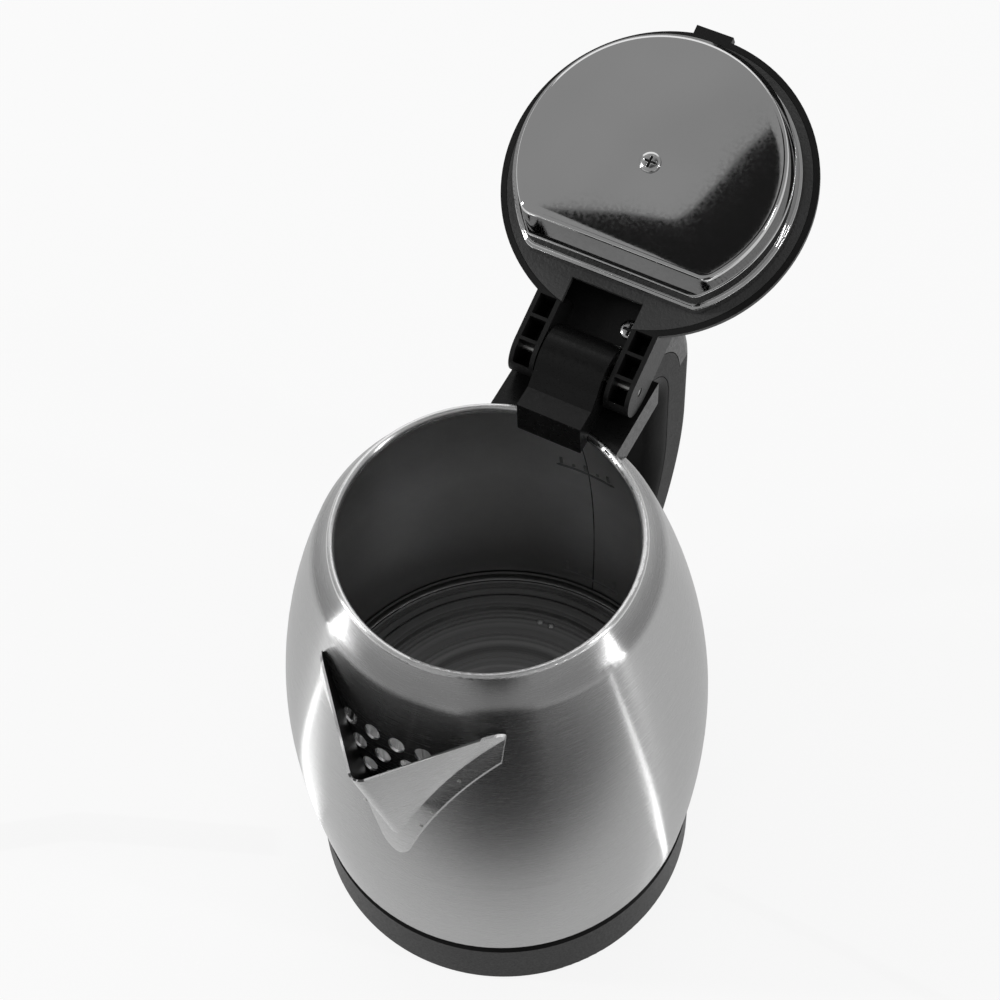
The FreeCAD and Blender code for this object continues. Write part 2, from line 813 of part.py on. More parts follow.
def hang_on_hinge(piece):
    """Swing a lid piece from its closed place to the open one."""
    piece.Placement = FreeCAD.Placement(Vector(0, 0, 0), FreeCAD.Rotation(Vector(-1, 0, 0), 1))
    bind(piece, "Placement.Rotation.Angle", open_angle)
    swung_y = hinge_back * cosine(open_angle) + hinge_rise * sine(open_angle)
    swung_z = hinge_rise * cosine(open_angle) - hinge_back * sine(open_angle)
    return place(piece, 0, hinge_back - swung_y, rim_height + hinge_rise - swung_z)


def arm_side(front, inset):
    """Side outline of the arms with a round end about the hinge."""
    radius = arm_round - inset
    return [
        (front, hinge_rise - radius),
        (hinge_back, hinge_rise - radius, radius, 1),
        (hinge_back + radius, hinge_rise, radius, 1),
        (hinge_back, hinge_rise + radius),
        (front, hinge_rise + radius),
    ]


def arm_cells():
    """Hollows between the ribs inside each arm."""
    inset = arm_wall
    low = -1 * arm_round
    high = hinge_rise + arm_round - inset
    first = lid_radius - 2 * lid_wall
    span = (hinge_back - first) / 2
    cells = []
    for number in range(2):
        start = first + span * number
        end = start + span - arm_rib
        cells.append([(start, low), (end, low), (end, high), (start, high)])
    radius = arm_round - inset
    tail = [
        (hinge_back, low),
        (hinge_back + radius, low),
        (hinge_back + radius, hinge_rise, radius, 1),
        (hinge_back, high),
    ]
    return cells + [tail]


def make_lid_cover():
    body = revolved("lid_cover", [
        (0, lid_gap),
        (lid_radius, lid_gap),
        (lid_radius, lid_lip, dome_radius, 1),
        (lid_crown, lid_top),
        (0, lid_top),
    ])
    house_front = lid_crown / 2
    arms = new_sketch(body, "YZ_Plane", [arm_side(house_front, as_size(0))])
    add_feature(body, "Pad", arms, 2 * arm_outer, symmetric=True)
    tab_left = -1 * tab_shift - tab_width / 2
    tab_right = tab_left + tab_width
    tab = [
        (tab_left, -1 * lid_radius - tab_reach),
        (tab_right, -1 * lid_radius - tab_reach),
        (tab_right, 2 * lid_wall - lid_radius),
        (tab_left, 2 * lid_wall - lid_radius),
    ]
    add_feature(body, "Pad", new_sketch(body, "XY_Plane", [tab], offset=lid_gap), tab_height)
    groove(body, [
        (0, lid_gap),
        (lid_inside, lid_gap),
        (lid_inside, lid_lip, dome_inner, 1),
        (lid_crown, lid_ceiling),
        (0, lid_ceiling),
    ])
    room_half = arm_outer - lid_wall
    room_back = root(lid_inside * lid_inside - arm_outer * arm_outer)
    room = [
        (-1 * room_half, house_front + lid_wall),
        (room_half, house_front + lid_wall),
        (room_half, room_back),
        (-1 * room_half, room_back),
    ]
    room_sketch = new_sketch(body, "XY_Plane", [room], offset=lid_gap)
    add_feature(body, "Pocket", room_sketch, lid_ceiling - lid_gap, reverse=True)
    behind = hinge_back + 2 * arm_round
    below = lid_gap - arm_round
    above = lid_top + arm_round
    between = [
        (notch_front, below),
        (behind, below),
        (behind, above),
        (lid_radius, above),
        (lid_radius, lid_ceiling),
        (notch_front, lid_ceiling),
    ]
    add_feature(body, "Pocket", new_sketch(body, "YZ_Plane", [between]), 2 * arm_inner, symmetric=True)
    cell_width = arm_width - 2 * arm_wall
    for side in (-1, 1):
        start = (arm_inner + arm_wall) * side
        sketch = new_sketch(body, "YZ_Plane", arm_cells(), offset=start)
        add_feature(body, "Pocket", sketch, cell_width, reverse=side > 0)
    bite = new_sketch(body, "XY_Plane", circles=[(plate_screw_across, plate_screw_back, screw_radius)],
                      offset=lid_ceiling)
    add_feature(body, "Pocket", bite, plate_screw_bite, reverse=True)
    eye = new_sketch(body, "YZ_Plane", circles=[(hinge_back, hinge_rise, hinge_pin_radius + running_fit)])
    add_feature(body, "Pocket", eye, 4 * arm_outer, symmetric=True)
    return hang_on_hinge(body)


def lid_notch(body, widen, low, high):
    """Gap at the back of a lid piece that lets the rim block through."""
    half = arm_inner + widen
    far = 2 * lid_radius
    plan = [(-1 * half, notch_front), (half, notch_front), (half, far), (-1 * half, far)]
    sketch = new_sketch(body, "XY_Plane", [plan], offset=low)
    add_feature(body, "Pocket", sketch, high - low, reverse=True)


def make_lid_inner_plate():
    post_end = liner_wall - liner_drop
    plate_top = lid_gap + inner_plate_thickness
    body = revolved("lid_inner_plate", [
        (screw_radius, post_end),
        (boss_radius, post_end),
        (boss_radius, lid_gap),
        (lid_inside - joint_gap, lid_gap),
        (lid_inside - joint_gap, plate_top),
        (screw_radius, plate_top),
    ])
    lid_notch(body, as_size(0), lid_gap, plate_top)
    return hang_on_hinge(body)


def liner_outline(radius, flat, corner):
    """Round pan with one flat side and rounded corners."""
    reach = radius - corner
    depth = flat - corner
    across = root(reach * reach - depth * depth)
    touch_x = across * radius / reach
    touch_y = depth * radius / reach
    return [
        (-1 * across, flat),
        (across, flat, corner, -1),
        (touch_x, touch_y, radius, -1),
        (radius, 0, radius, -1),
        (0, -1 * radius, radius, -1),
        (-1 * radius, 0, radius, -1),
        (-1 * touch_x, touch_y, corner, -1),
    ]


def liner_solid(name, inset):
    """Stepped pan as a solid, drawn in by inset on every wall and on its face."""
    body = new_body(name)
    brim = liner_outline(liner_radius - inset, liner_flat - inset, liner_corner - inset)
    sketch = new_sketch(body, "XY_Plane", [brim], offset=lid_gap)
    add_feature(body, "Pad", sketch, lid_gap + liner_step_drop - inset, reverse=True)
    step = liner_step + inset
    upper = liner_outline(liner_radius - step, liner_flat - step, liner_corner - inset)
    lower = liner_outline(liner_face_radius - inset, liner_face_flat - inset, liner_corner - inset)
    upper_sketch = new_sketch(body, "XY_Plane", [upper], offset=inset - liner_step_drop)
    lower_sketch = new_sketch(body, "XY_Plane", [lower], offset=inset - liner_drop)
    loft = body.newObject("PartDesign::AdditiveLoft", f"{name}_loft")
    loft.Profile = upper_sketch
    loft.Sections = [lower_sketch]
    loft.Ruled = True
    return body


def make_lid_liner():
    outside = liner_solid("liner_outside", as_size(0))
    inside = liner_solid("liner_inside", liner_wall)
    pan = cut("liner_pan", outside, inside)
    hole = cylinder("liner_hole", screw_radius, 2 * liner_wall, z=-1 * liner_drop - liner_wall / 2)
    return hang_on_hinge(cut("lid_liner", pan, hole))


def make_lid_screw():
    seat = -1 * liner_drop
    length = liner_drop - liner_wall
    shank = cylinder("lid_screw_shank", screw_radius, length, z=seat)
    head = cylinder("lid_screw_head", screw_head_radius, screw_head_height, z=seat - screw_head_height)
    slot_width = screw_head_radius / 3
    slot_reach = 2 * slot_width
    slot_depth = screw_head_height / 2
    slots = []
    for name, x, y in (("across", slot_reach, slot_width / 2), ("along", slot_width / 2, slot_reach)):
        low = (-1 * x, -1 * y, seat - 2 * screw_head_height)
        high = (x, y, seat - screw_head_height + slot_depth)
        slots.append(box(f"lid_screw_slot_{name}", low, high))
    whole = fuse("lid_screw_whole", shank, head)
    return hang_on_hinge(cut("lid_screw", whole, fuse("lid_screw_recess", *slots)))


# Handle: a band bent round two centres, joined to the vessel near the rim and above the base
bend_back = bracket_back + seam_gap
top_bend = handle_back - bend_back
top_centre = rim_height + ledge - top_bend
low_centre_back = handle_back - handle_lower_bend
slant = handle_lower_angle
slant_start = low_centre_back + handle_lower_bend * cosine(slant)
slant_drop = (slant_start - heel_back) * cosine(slant) / sine(slant)
low_centre = handle_foot + slant_drop + handle_lower_bend * sine(slant)
trim_back = rim_radius
trim_low = steel_foot_radius - handle_edge_round


def slanted_end(radius, level):
    """End of the lower bend at one radius, and where its tangent reaches a level."""
    y = low_centre_back + radius * cosine(slant)
    z = low_centre - radius * sine(slant)
    end_y = y - (z - level) * sine(slant) / cosine(slant)
    return (y, z), (end_y, level)


def slanted_to(radius, back):
    """Where the tangent after the lower bend reaches a distance from the axis."""
    y = low_centre_back + radius * cosine(slant)
    z = low_centre - radius * sine(slant)
    return z - (y - back) * cosine(slant) / sine(slant)


def handle_side(inset):
    """Side outline of the handle, drawn in by inset."""
    outer_top = top_bend - inset
    inner_top = top_bend - handle_thickness + inset
    outer_low = handle_lower_bend - inset
    inner_low = handle_lower_bend - handle_thickness + inset
    outer_back = handle_back - inset
    inner_back = handle_back - handle_thickness + inset
    foot = handle_foot + inset
    bend_end, foot_end = slanted_end(outer_low, foot)
    inner_end = slanted_end(inner_low, foot)[0]
    return [
        (trim_back, top_centre + outer_top),
        (bend_back, top_centre + outer_top, outer_top, -1),
        (outer_back, top_centre),
        (outer_back, low_centre, outer_low, -1),
        bend_end,
        foot_end,
        (trim_low, foot),
        (trim_low, slanted_to(inner_low, trim_low)),
        (inner_end[0], inner_end[1], inner_low, 1),
        (inner_back, low_centre),
        (inner_back, top_centre, inner_top, 1),
        (bend_back, top_centre + inner_top),
        (trim_back, top_centre + inner_top),
    ]


def finger_side(depth):
    """Everything on the finger side of a line that lies depth inside the handle's inner face."""
    top = top_bend - handle_thickness + depth
    low = handle_lower_bend - handle_thickness + depth
    back = handle_back - handle_thickness + depth
    bend_end = slanted_end(low, handle_foot)[0]
    return [
        (0, top_centre + top),
        (bend_back, top_centre + top, top, -1),
        (back, top_centre),
        (back, low_centre, low, -1),
        bend_end,
        (trim_low, slanted_to(low, trim_low)),
        (0, slanted_to(low, trim_low)),
    ]


def head_side(arch):
    """Region of the head above an arched seam."""
    foot = top_centre + seam_drop
    across = root(arch * arch - seam_drop * seam_drop)
    beyond = 2 * handle_back
    high = rim_height + handle_back
    return [
        (bend_back + across, foot),
        (beyond, foot),
        (beyond, high),
        (0, high),
        (0, top_centre + arch),
        (bend_back, top_centre + arch, arch, -1),
    ]


def on_slant(along, outward):
    """Point beside the rocker's pivot, along the handle's lower slant and out of its face."""
    y = rocker_back + along * sine(slant) + outward * cosine(slant)
    z = rocker_level + along * cosine(slant) - outward * sine(slant)
    return (y, z)


def slant_rectangle(along, outward, half_length, half_depth):
    corners = ((-1, -1), (1, -1), (1, 1), (-1, 1))
    return [on_slant(along + half_length * a, outward + half_depth * b) for a, b in corners]


def rocker_side(radius, half_angle, tilt):
    """Wedge about the rocker's pivot that opens out of the handle's face."""
    first = tilt - slant - half_angle
    last = tilt - slant + half_angle
    start = (rocker_back + radius * cosine(first), rocker_level + radius * sine(first))
    end = (rocker_back + radius * cosine(last), rocker_level + radius * sine(last))
    heel_y = rocker_back - rocker_heel * cosine(tilt - slant)
    heel_z = rocker_level - rocker_heel * sine(tilt - slant)
    return [(heel_y, heel_z), (start[0], start[1], radius, 1), end]


slant_middle, slant_foot = slanted_end(handle_lower_bend, handle_foot)
rocker_back = (slant_middle[0] + slant_foot[0]) / 2 - rocker_depth * cosine(slant)
rocker_level = (slant_middle[1] + slant_foot[1]) / 2 + rocker_depth * sine(slant)


lower_mount_level = handle_foot + handle_wall
foot_screw_back = vessel_radius(lower_mount_level) + 2 * screw_head_radius


def make_handle_band():
    """Hollow handle before it is parted, trimmed to the vessel and to the hinge bracket."""
    band = side_prism("handle_band", [handle_side(as_size(0))], handle_width)
    half = handle_width / 2
    rounded(band, handle_edge_round, lambda edge: abs(abs(edge.CenterOfMass.x) - half.value) < 1e-4)
    hollow_width = handle_width - 2 * handle_wall
    hollow = side_prism("handle_hollow", [handle_side(handle_wall)], hollow_width)
    vessel = vessel_block("vessel_for_handle", joint_gap)
    reach = 2 * bracket_half
    floor = rim_height + ledge - bracket_depth - mount_thickness - joint_gap
    seat = box("bracket_seat", (-1 * reach, 0, floor), (reach, bracket_back + joint_gap, rim_height + reach))
    half_slot = rocker_width / 2 + rocker_clear
    slot_side = rocker_side(4 * rocker_radius, rocker_half_angle + rocker_swing, as_size(0))
    slot = side_prism("rocker_slot", [slot_side], 2 * half_slot)
    foot_hole = cylinder("foot_screw_hole", screw_radius + running_fit, 2 * handle_wall, 0, foot_screw_back,
                         handle_foot - handle_wall)
    tools = fuse("handle_trim", hollow, vessel, seat, slot, foot_hole)
    return cut("handle_tube", band, tools)


def make_hump():
    """Rim block and round hump between the lid's arms."""
    corner_y = hinge_back - lid_radius
    corner_z = lid_ceiling - hinge_rise
    radius = root(corner_y * corner_y + corner_z * corner_z) - hump_clear
    start = (hinge_back - radius * cosine(hump_start), rim_height + hinge_rise + radius * sine(hump_start))
    end = (hinge_back + radius * cosine(hump_end), rim_height + hinge_rise - radius * sine(hump_end))
    top = (hinge_back, rim_height + hinge_rise + radius)
    tail_run = 2 * arm_width
    tail_back = bend_back + tail_run
    tail_top = top_centre + root(top_bend * top_bend - tail_run * tail_run)
    tail_low = tail_top - handle_wall
    seat = rim_height + ledge
    hook_back = root(rim_radius * rim_radius - block_half * block_half)
    loop = [
        (block_front, rim_height - block_hang),
        (block_front, rim_height + block_rise),
        (block_front + block_land, rim_height + block_rise),
        (start[0], start[1], radius, -1),
        (top[0], top[1], radius, -1),
        end,
        (tail_back, tail_top),
        (tail_back, tail_low),
        (bracket_back + joint_gap, tail_low),
        (bracket_back + joint_gap, seat),
        (hook_back, seat),
        (hook_back, rim_height - block_hang),
    ]
    pin = [(hinge_back, rim_height + hinge_rise, hinge_pin_radius)]
    solid = side_prism("hump_solid", [loop], 2 * block_half, pin)
    steel = revolved("rim_clearance", vessel_wall(joint_gap))
    return cut("hump", solid, steel)


def make_handle():
    """Head, grip and front cover, parted along their seams."""
    tube = make_handle_band()
    wide = 2 * handle_width
    head_zone = side_prism("head_zone", [head_side(head_arch)], wide)
    grip_zone = side_prism("grip_zone", [head_side(head_arch - seam_gap)], wide)
    front_zone = side_prism("front_zone", [finger_side(front_depth - seam_gap)], wide)
    back_zone = side_prism("back_zone", [finger_side(front_depth)], wide)
    head_band = common("head_band", tube, head_zone)
    head = fuse("handle_head", head_band, make_hump())
    lower = cut("lower_band", tube, grip_zone)
    front = common("handle_front_cover", lower, front_zone)
    grip = cut("handle_grip", lower, back_zone)
    return [head, grip, front]


def make_hinge_bracket():
    seat = rim_height + ledge
    low_corner = (-1 * bracket_half, 0, seat - bracket_depth)
    block = box("bracket_block", low_corner, (bracket_half, bracket_back, seat))
    vessel = vessel_block("vessel_for_bracket", joint_gap)
    holes = []
    for side in (-1, 1):
        x = bracket_screw_across * side
        low = seat - 2 * bracket_depth
        holes.append(cylinder(f"bracket_hole_{side + 1}", screw_radius + running_fit, 3 * bracket_depth,
                              x, hinge_back, low))
        holes.append(cylinder(f"bracket_sink_{side + 1}", screw_head_radius + joint_gap, bracket_depth,
                              x, hinge_back, seat - screw_head_height))
    return cut("hinge_bracket", block, fuse("bracket_trim", vessel, *holes))


def make_upper_mount():
    top = rim_height + ledge - bracket_depth
    half = bracket_half - handle_wall
    plate = box("mount_block", (-1 * half, 0, top - mount_thickness), (half, bracket_back - handle_wall, top))
    vessel = vessel_block("vessel_for_mount", 0)
    low = top - 2 * mount_thickness
    holes = [cylinder(f"mount_hole_{side + 1}", screw_radius, 3 * mount_thickness,
                      bracket_screw_across * side, hinge_back, low) for side in (-1, 1)]
    return cut("upper_mount", plate, fuse("mount_trim", vessel, *holes))


def make_bracket_screws():
    seat = rim_height + ledge - screw_head_height
    length = bracket_depth + mount_thickness - screw_head_height
    screws = [upright_screw(f"bracket_screw_{side + 1}", bracket_screw_across * side, hinge_back,
                            seat, length, upward=False) for side in (-1, 1)]
    return group("bracket_screws", *screws)


def make_hinge_pin():
    length = 2 * arm_outer - 2 * seam_gap
    pin = cylinder("hinge_pin", hinge_pin_radius, length, direction=Vector(1, 0, 0))
    return place(pin, -1 * length / 2, hinge_back, rim_height + hinge_rise)


def make_rocker():
    outline = rocker_side(rocker_radius, rocker_half_angle, -1 * rocker_swing / 2)
    eye = [(rocker_back, rocker_level, rocker_pin_radius + running_fit)]
    wedge = side_prism("rocker_switch", [outline], rocker_width, eye)
    length = handle_width - 2 * handle_wall
    pin = cylinder("rocker_pin", rocker_pin_radius, length, direction=Vector(1, 0, 0))
    place(pin, -1 * length / 2, rocker_back, rocker_level)
    return [wedge, pin]


def make_lid_plate_screw():
    screw = upright_screw("lid_plate_screw", plate_screw_across, plate_screw_back, lid_ceiling,
                          plate_screw_bite)
    return hang_on_hinge(screw)


def make_trip_lever():
    """Lever that passes the rocker's movement on to the steam switch."""
    tip = -1 * rocker_heel - 2 * rocker_clear
    tail = -1 * lever_reach - lever_pin_radius - lever_thickness / 2
    pivot = on_slant(as_size(0), -1 * lever_reach)
    outline = slant_rectangle(as_size(0), (tip + tail) / 2, lever_thickness, (tip - tail) / 2)
    lever = side_prism("trip_lever", [outline], rocker_width / 2,
                       [(pivot[0], pivot[1], lever_pin_radius + running_fit)])
    length = handle_width - 2 * handle_wall
    pin = cylinder("lever_pin", lever_pin_radius, length, direction=Vector(1, 0, 0))
    place(pin, -1 * length / 2, pivot[0], pivot[1])
    return [lever, pin]


def make_steam_switch():
    half_length = switch_length / 2
    along = rocker_radius + half_length + rocker_clear
    shift = rocker_depth - handle_wall - switch_depth / 2 - switch_clear
    width = handle_width - 2 * handle_wall - 2 * rocker_clear
    case = side_prism("steam_switch", [slant_rectangle(along, shift, half_length, switch_depth / 2)], width)
    disc_at = on_slant(along + half_length, shift)
    disc = cylinder("steam_bimetal", disc_radius, disc_thickness)
    disc.Placement = FreeCAD.Placement(Vector(0, 0, 0), FreeCAD.Rotation(Vector(-1, 0, 0), 1))
    bind(disc, "Placement.Rotation.Angle", slant)
    place(disc, 0, disc_at[0], disc_at[1])
    return [case, disc]


def arced_path(points):
    """Straight runs joined by tangent arcs as large as the runs allow."""
    edges = []
    last = points[0]
    for before, corner, after in zip(points, points[1:], points[2:]):
        into = (corner - before).normalize()
        out = (after - corner).normalize()
        turn = into.getAngle(out)
        reach = bend_share * min(corner.distanceToPoint(before), corner.distanceToPoint(after))
        start = corner - into * reach
        end = corner + out * reach
        centre_way = (out - into).normalize()
        radius = reach / math.tan(turn / 2)
        middle = corner + centre_way * (radius / math.cos(turn / 2) - radius)
        edges.append(Part.LineSegment(last, start).toShape())
        edges.append(Part.Arc(start, middle, end).toShape())
        last = end
    edges.append(Part.LineSegment(last, points[-1]).toShape())
    return Part.Wire(edges)


def tube(points, radius):
    """Round tube along a path."""
    path = arced_path(points)
    way = path.Edges[0].tangentAt(path.Edges[0].FirstParameter)
    ring = Part.Wire(Part.makeCircle(radius, points[0], way))
    return path.makePipeShell([ring], True, False)


def spot(x, y, z):
    return Vector(as_size(x).value, as_size(y).value, as_size(z).value)


def make_steam_tube():
    """Duct inside the handle from the head down to the bimetal of the steam switch."""
    middle = top_bend - handle_thickness / 2
    back = handle_back - handle_thickness / 2
    end = on_slant(rocker_radius + rocker_clear + switch_length + disc_thickness + switch_clear, as_size(0))
    quarter = as_size(90.0 / 4)
    corner = middle / cosine(quarter)
    route = [spot(0, bend_back + 2 * handle_wall, top_centre + middle)]
    for turn in (3 * quarter, quarter):
        route.append(spot(0, bend_back + corner * cosine(turn), top_centre + corner * sine(turn)))
    route.append(spot(0, back, low_centre))
    route.append(spot(0, end[0], end[1]))
    outside = tube(route, steam_radius.value)
    duct = doc.addObject("Part::Feature", "steam_tube")
    first = route[0] - (route[1] - route[0]).normalize()
    last = route[-1] + (route[-1] - route[-2]).normalize()
    bore = tube([first] + route[1:-1] + [last], steam_radius.value - steam_wall.value)
    duct.Shape = outside.cut(bore)
    duct.Placement = FreeCAD.Placement()
    return duct


def make_lead(name, points):
    lead = doc.addObject("Part::Feature", name)
    lead.Shape = tube(points, lead_radius.value)
    lead.Placement = FreeCAD.Placement()
    return lead


def make_leads():
    """Insulated leads that join the control, the switch, the element and the spreader."""
    half_y = control_depth / 2
    low = socket_top + control_height / 2
    beside = half_y + element_ring / 4
    wall_in = vessel_radius(lead_level) - element_ring / 4
    wall_out = vessel_radius(lead_level) + handle_wall
    apart = 2 * lead_radius
    inward = -1 * lever_reach / 2
    turn_in = on_slant(-1 * switch_length / 2, inward)
    entry = on_slant(rocker_radius + rocker_clear, inward)
    outer_x = rocker_width / 2 + rocker_clear + lead_radius

    def into_switch(side):
        return [
            spot(apart * side, wall_in, lead_level),
            spot(apart * side, wall_out, lead_level),
            spot(outer_x * side, turn_in[0], turn_in[1]),
            spot(outer_x * side, entry[0], entry[1]),
        ]

    live = [spot(-1 * control_width / 8, half_y, low), spot(-1 * control_width / 8, beside, low)]
    switched = [spot(terminal_x, terminal_y, terminal_low), spot(terminal_x, terminal_y, socket_top)]
    neutral = [
        spot(-1 * terminal_x, half_y, low),
        spot(-1 * terminal_x, terminal_y, low),
        spot(-1 * terminal_x, terminal_y, terminal_low),
    ]
    earth = [spot(0, -1 * half_y, low), spot(0, -1 * beside, low), spot(0, -1 * beside, spreader_bottom)]
    return [
        make_lead("live_lead", live + into_switch(-1)),
        make_lead("switch_lead", switched + into_switch(1)),
        make_lead("neutral_lead", neutral),
        make_lead("earth_lead", earth),
    ]


def make_lower_mount():
    """Welded foot inside the handle's lower end, and the screw that draws the handle to it."""
    half = handle_width / 4
    reach = foot_screw_back + handle_wall
    top = lower_mount_level + mount_thickness
    plate = box("lower_mount_block", (-1 * half, 0, lower_mount_level), (half, reach, top))
    vessel = vessel_block("vessel_for_lower_mount", 0)
    hole = cylinder("lower_mount_hole", screw_radius, 3 * mount_thickness, 0, foot_screw_back,
                    lower_mount_level - mount_thickness)
    mount = cut("lower_mount", plate, fuse("lower_mount_trim", vessel, hole))
    screw = upright_screw("handle_screw", as_size(0), foot_screw_back, handle_foot, top - handle_foot)
    return [mount, screw]


def main():
    pieces = [
        make_body_shell(),
        make_spout_beak(),
        make_floor_plate(),
        make_heat_spreader(),
        make_heating_element(),
        make_element_terminals(),
        make_base_skirt(),
        make_bottom_cover(),
        make_bottom_screws(),
        make_coupler_socket(),
        make_coupler_contacts(),
        make_control_body(),
        make_bimetal_discs(),
        make_control_screws(),
        make_hinge_bracket(),
        make_upper_mount(),
        make_bracket_screws(),
        make_hinge_pin(),
        make_lid_cover(),
        make_lid_inner_plate(),
        make_lid_liner(),
        make_lid_screw(),
        make_lid_plate_screw(),
        make_steam_tube(),
    ]
    pieces += make_handle()
    pieces += make_lower_mount()
    pieces += make_rocker()
    pieces += make_trip_lever()
    pieces += make_steam_switch()
    pieces += make_leads()
    doc.recompute()
    for thing in doc.Objects:
        if "Invalid" in thing.State or "Error" in thing.State:
            raise RuntimeError(f"{thing.Label} failed: {thing.State}")
    for piece in pieces:
        if piece.Shape.isNull() or not piece.Shape.isValid() or not piece.Shape.Solids:
            raise RuntimeError(f"{piece.Label} has no sound shape")
    os.makedirs("parts", exist_ok=True)
    for piece in pieces:
        piece.Shape.exportStep(f"parts/{piece.Label}.step")
        print(piece.Label, len(piece.Shape.Solids), round(piece.Shape.Volume, 1))


main()
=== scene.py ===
import math
import bmesh
import bpy
from mathutils import Matrix, Vector


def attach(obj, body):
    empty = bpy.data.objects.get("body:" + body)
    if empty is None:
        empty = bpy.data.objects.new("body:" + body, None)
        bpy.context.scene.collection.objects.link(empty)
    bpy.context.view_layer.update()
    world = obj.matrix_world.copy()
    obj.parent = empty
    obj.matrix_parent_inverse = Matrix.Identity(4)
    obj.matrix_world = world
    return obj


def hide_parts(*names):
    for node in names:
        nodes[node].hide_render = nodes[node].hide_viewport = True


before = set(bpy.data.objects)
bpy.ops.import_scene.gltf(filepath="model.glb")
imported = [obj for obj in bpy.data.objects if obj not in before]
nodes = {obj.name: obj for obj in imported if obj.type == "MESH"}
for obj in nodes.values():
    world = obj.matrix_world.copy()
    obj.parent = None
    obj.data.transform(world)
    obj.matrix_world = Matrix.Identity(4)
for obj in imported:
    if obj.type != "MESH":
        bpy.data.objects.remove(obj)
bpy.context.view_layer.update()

MM = 0.001
FULL_TURN = 2 * math.pi
QUARTER_TURN = math.pi / 2

# Camera of the photograph, found from the rim, the seam, the lid and the spout
VIEW_AZIMUTH = math.radians(30.517)
VIEW_ELEVATION = math.radians(57.492)
VIEW_ROLL = math.radians(-3.3456)
VIEW_DISTANCE = 0.75
VIEW_AIM = (0.0047227, 0.0, 0.226688)
VIEW_LENS = 85.48
SENSOR = 36.0

# Vessel, heights from the table
RIM_HEIGHT = 206.0 * MM
SHOULDER_LEVEL = 195.5 * MM
SHOULDER_RADIUS = 58.5 * MM
BELLY_LEVEL = 94.0 * MM
BELLY_RADIUS = 75.6 * MM
FOOT_LEVEL = 31.0 * MM
FOOT_RADIUS = 71.3 * MM
STEEL_WALL = 0.8 * MM
FLOOR_LEVEL = 57.0 * MM

# Lid, which is drawn closed with heights from the rim and then swung open about its hinge
HINGE_BACK = 66.5 * MM
HINGE_RISE = 9.5 * MM
OPEN_ANGLE = math.radians(158.0)

# Liner pan of the lid in millimetres: (radius, distance of the flat side, corner radius, height)
LINER_LEVELS = (
    (48.4, 37.5, 6.0, 0.4),
    (48.4, 37.5, 6.0, -3.5),
    (46.8, 35.9, 6.0, -3.6),
    (45.5, 31.0, 6.0, -17.5),
    (43.2, 28.7, 5.7, -17.55),
)
LINER_ROUNDS = (0.8, 0.7, 1.9)
LINER_FACE_SHARES = (0.93, 0.85, 0.75, 0.64, 0.52, 0.40, 0.29, 0.20, 0.13, 0.08)
LINER_CROWN = 0.35
DIMPLE_DEPTH = 0.25
DIMPLE_SHARE = 0.22
FLAT_POINTS = 24
CORNER_POINTS = 14
ROUND_POINTS = 144
EASE_STEPS = 7

# Pan-head screws of the lid, in millimetres
HEAD_RADIUS = 3.6
HEAD_HEIGHT = 1.4
HEAD_RIM_SHARE = 0.3
SHANK_RADIUS = 1.5
SLOT_HALF_WIDTH = 0.45
SLOT_REACH = 2.2
SLOT_DEPTH = 0.9
HEAD_POINTS = 120
HEAD_STEPS = 30
HEAD_TIP_SHARE = 0.005

# Level marks on the inner wall: (height, relief), angles from the handle's side
MARKS = ((146.5 * MM, 0.45 * MM), (66.0 * MM, 0.3 * MM))
MARK_START = math.radians(-9.2)
MARK_END = math.radians(10.2)
MARK_HALF_LINE = 0.8 * MM
MARK_SUNK_EDGE = -0.05 * MM
MARK_COLUMNS = 16
TICKS = 5
TICK_HALF_ANGLE = math.radians(0.45)
TICK_GAP = 1.8 * MM
LONG_TICK = 7.0 * MM
SHORT_TICK = 4.0 * MM

# Weld line on the inner wall
WELD_ANGLE = math.radians(1.15)
WELD_HALF_WIDTH = 0.28 * MM
WELD_RELIEF = 0.14 * MM
WELD_SUNK_EDGE = -0.03 * MM
WELD_FOOT = 60.5 * MM
WELD_RUN = (195.0 - 60.5) * MM
WELD_ROWS = 60

# Small dots: shares of the radius and of the height from the edge to the top
DOT_PROFILE = ((1.0, -0.3), (0.92, 0.45), (0.62, 0.85), (0.25, 1.0))
DOT_POINTS = 20
SPOT_WELDS = ((18.9, 164.5), (11.7, 144.7), (8.3, 134.9))  # angle from the spout, height in millimetres
SPOT_RADIUS = 0.75 * MM
SPOT_RELIEF = 0.12 * MM
SPOT_UPWARD = 0.1
FLOOR_DOTS = ((-10.9, 52.9), (-6.3, 53.2))  # places in millimetres
FLOOR_DOT_RADIUS = 1.3 * MM
FLOOR_DOT_RELIEF = 0.35 * MM

# Crevice between the vessel's floor and its wall, drawn as a dark ring: painted shade at the joint
SEAM_RADIUS = 70.8 * MM
SEAM_TUBE = 0.3 * MM
SEAM_LEVEL = FLOOR_LEVEL + 0.15 * MM
SEAM_POINTS = 160
SEAM_TUBE_POINTS = 8

# Range that a noise mostly fills
NOISE_LOW = 0.3
NOISE_HIGH = 0.7

# Brushed steel: how often its lines change along and across the brushing
FINE_BRUSH = (5.0, 4200.0)
BROAD_BRUSH = (0.8, 700.0)
FINE_SHARE = 0.8
BRUSH_DEPTH = 0.006 * MM
BRUSH_ROUGH = (0.23, 0.29)
# Painted highlight: the rolled lip at the mouth gets a brighter tone than the rest of the steel
LIP_PAINTED_HIGHLIGHT_TONE = (0.80, 0.92)
LIP_START = RIM_HEIGHT - 3.4 * MM
LIP_END = RIM_HEIGHT - 1.6 * MM
INSIDE_ROUGH = (0.28, 0.34)
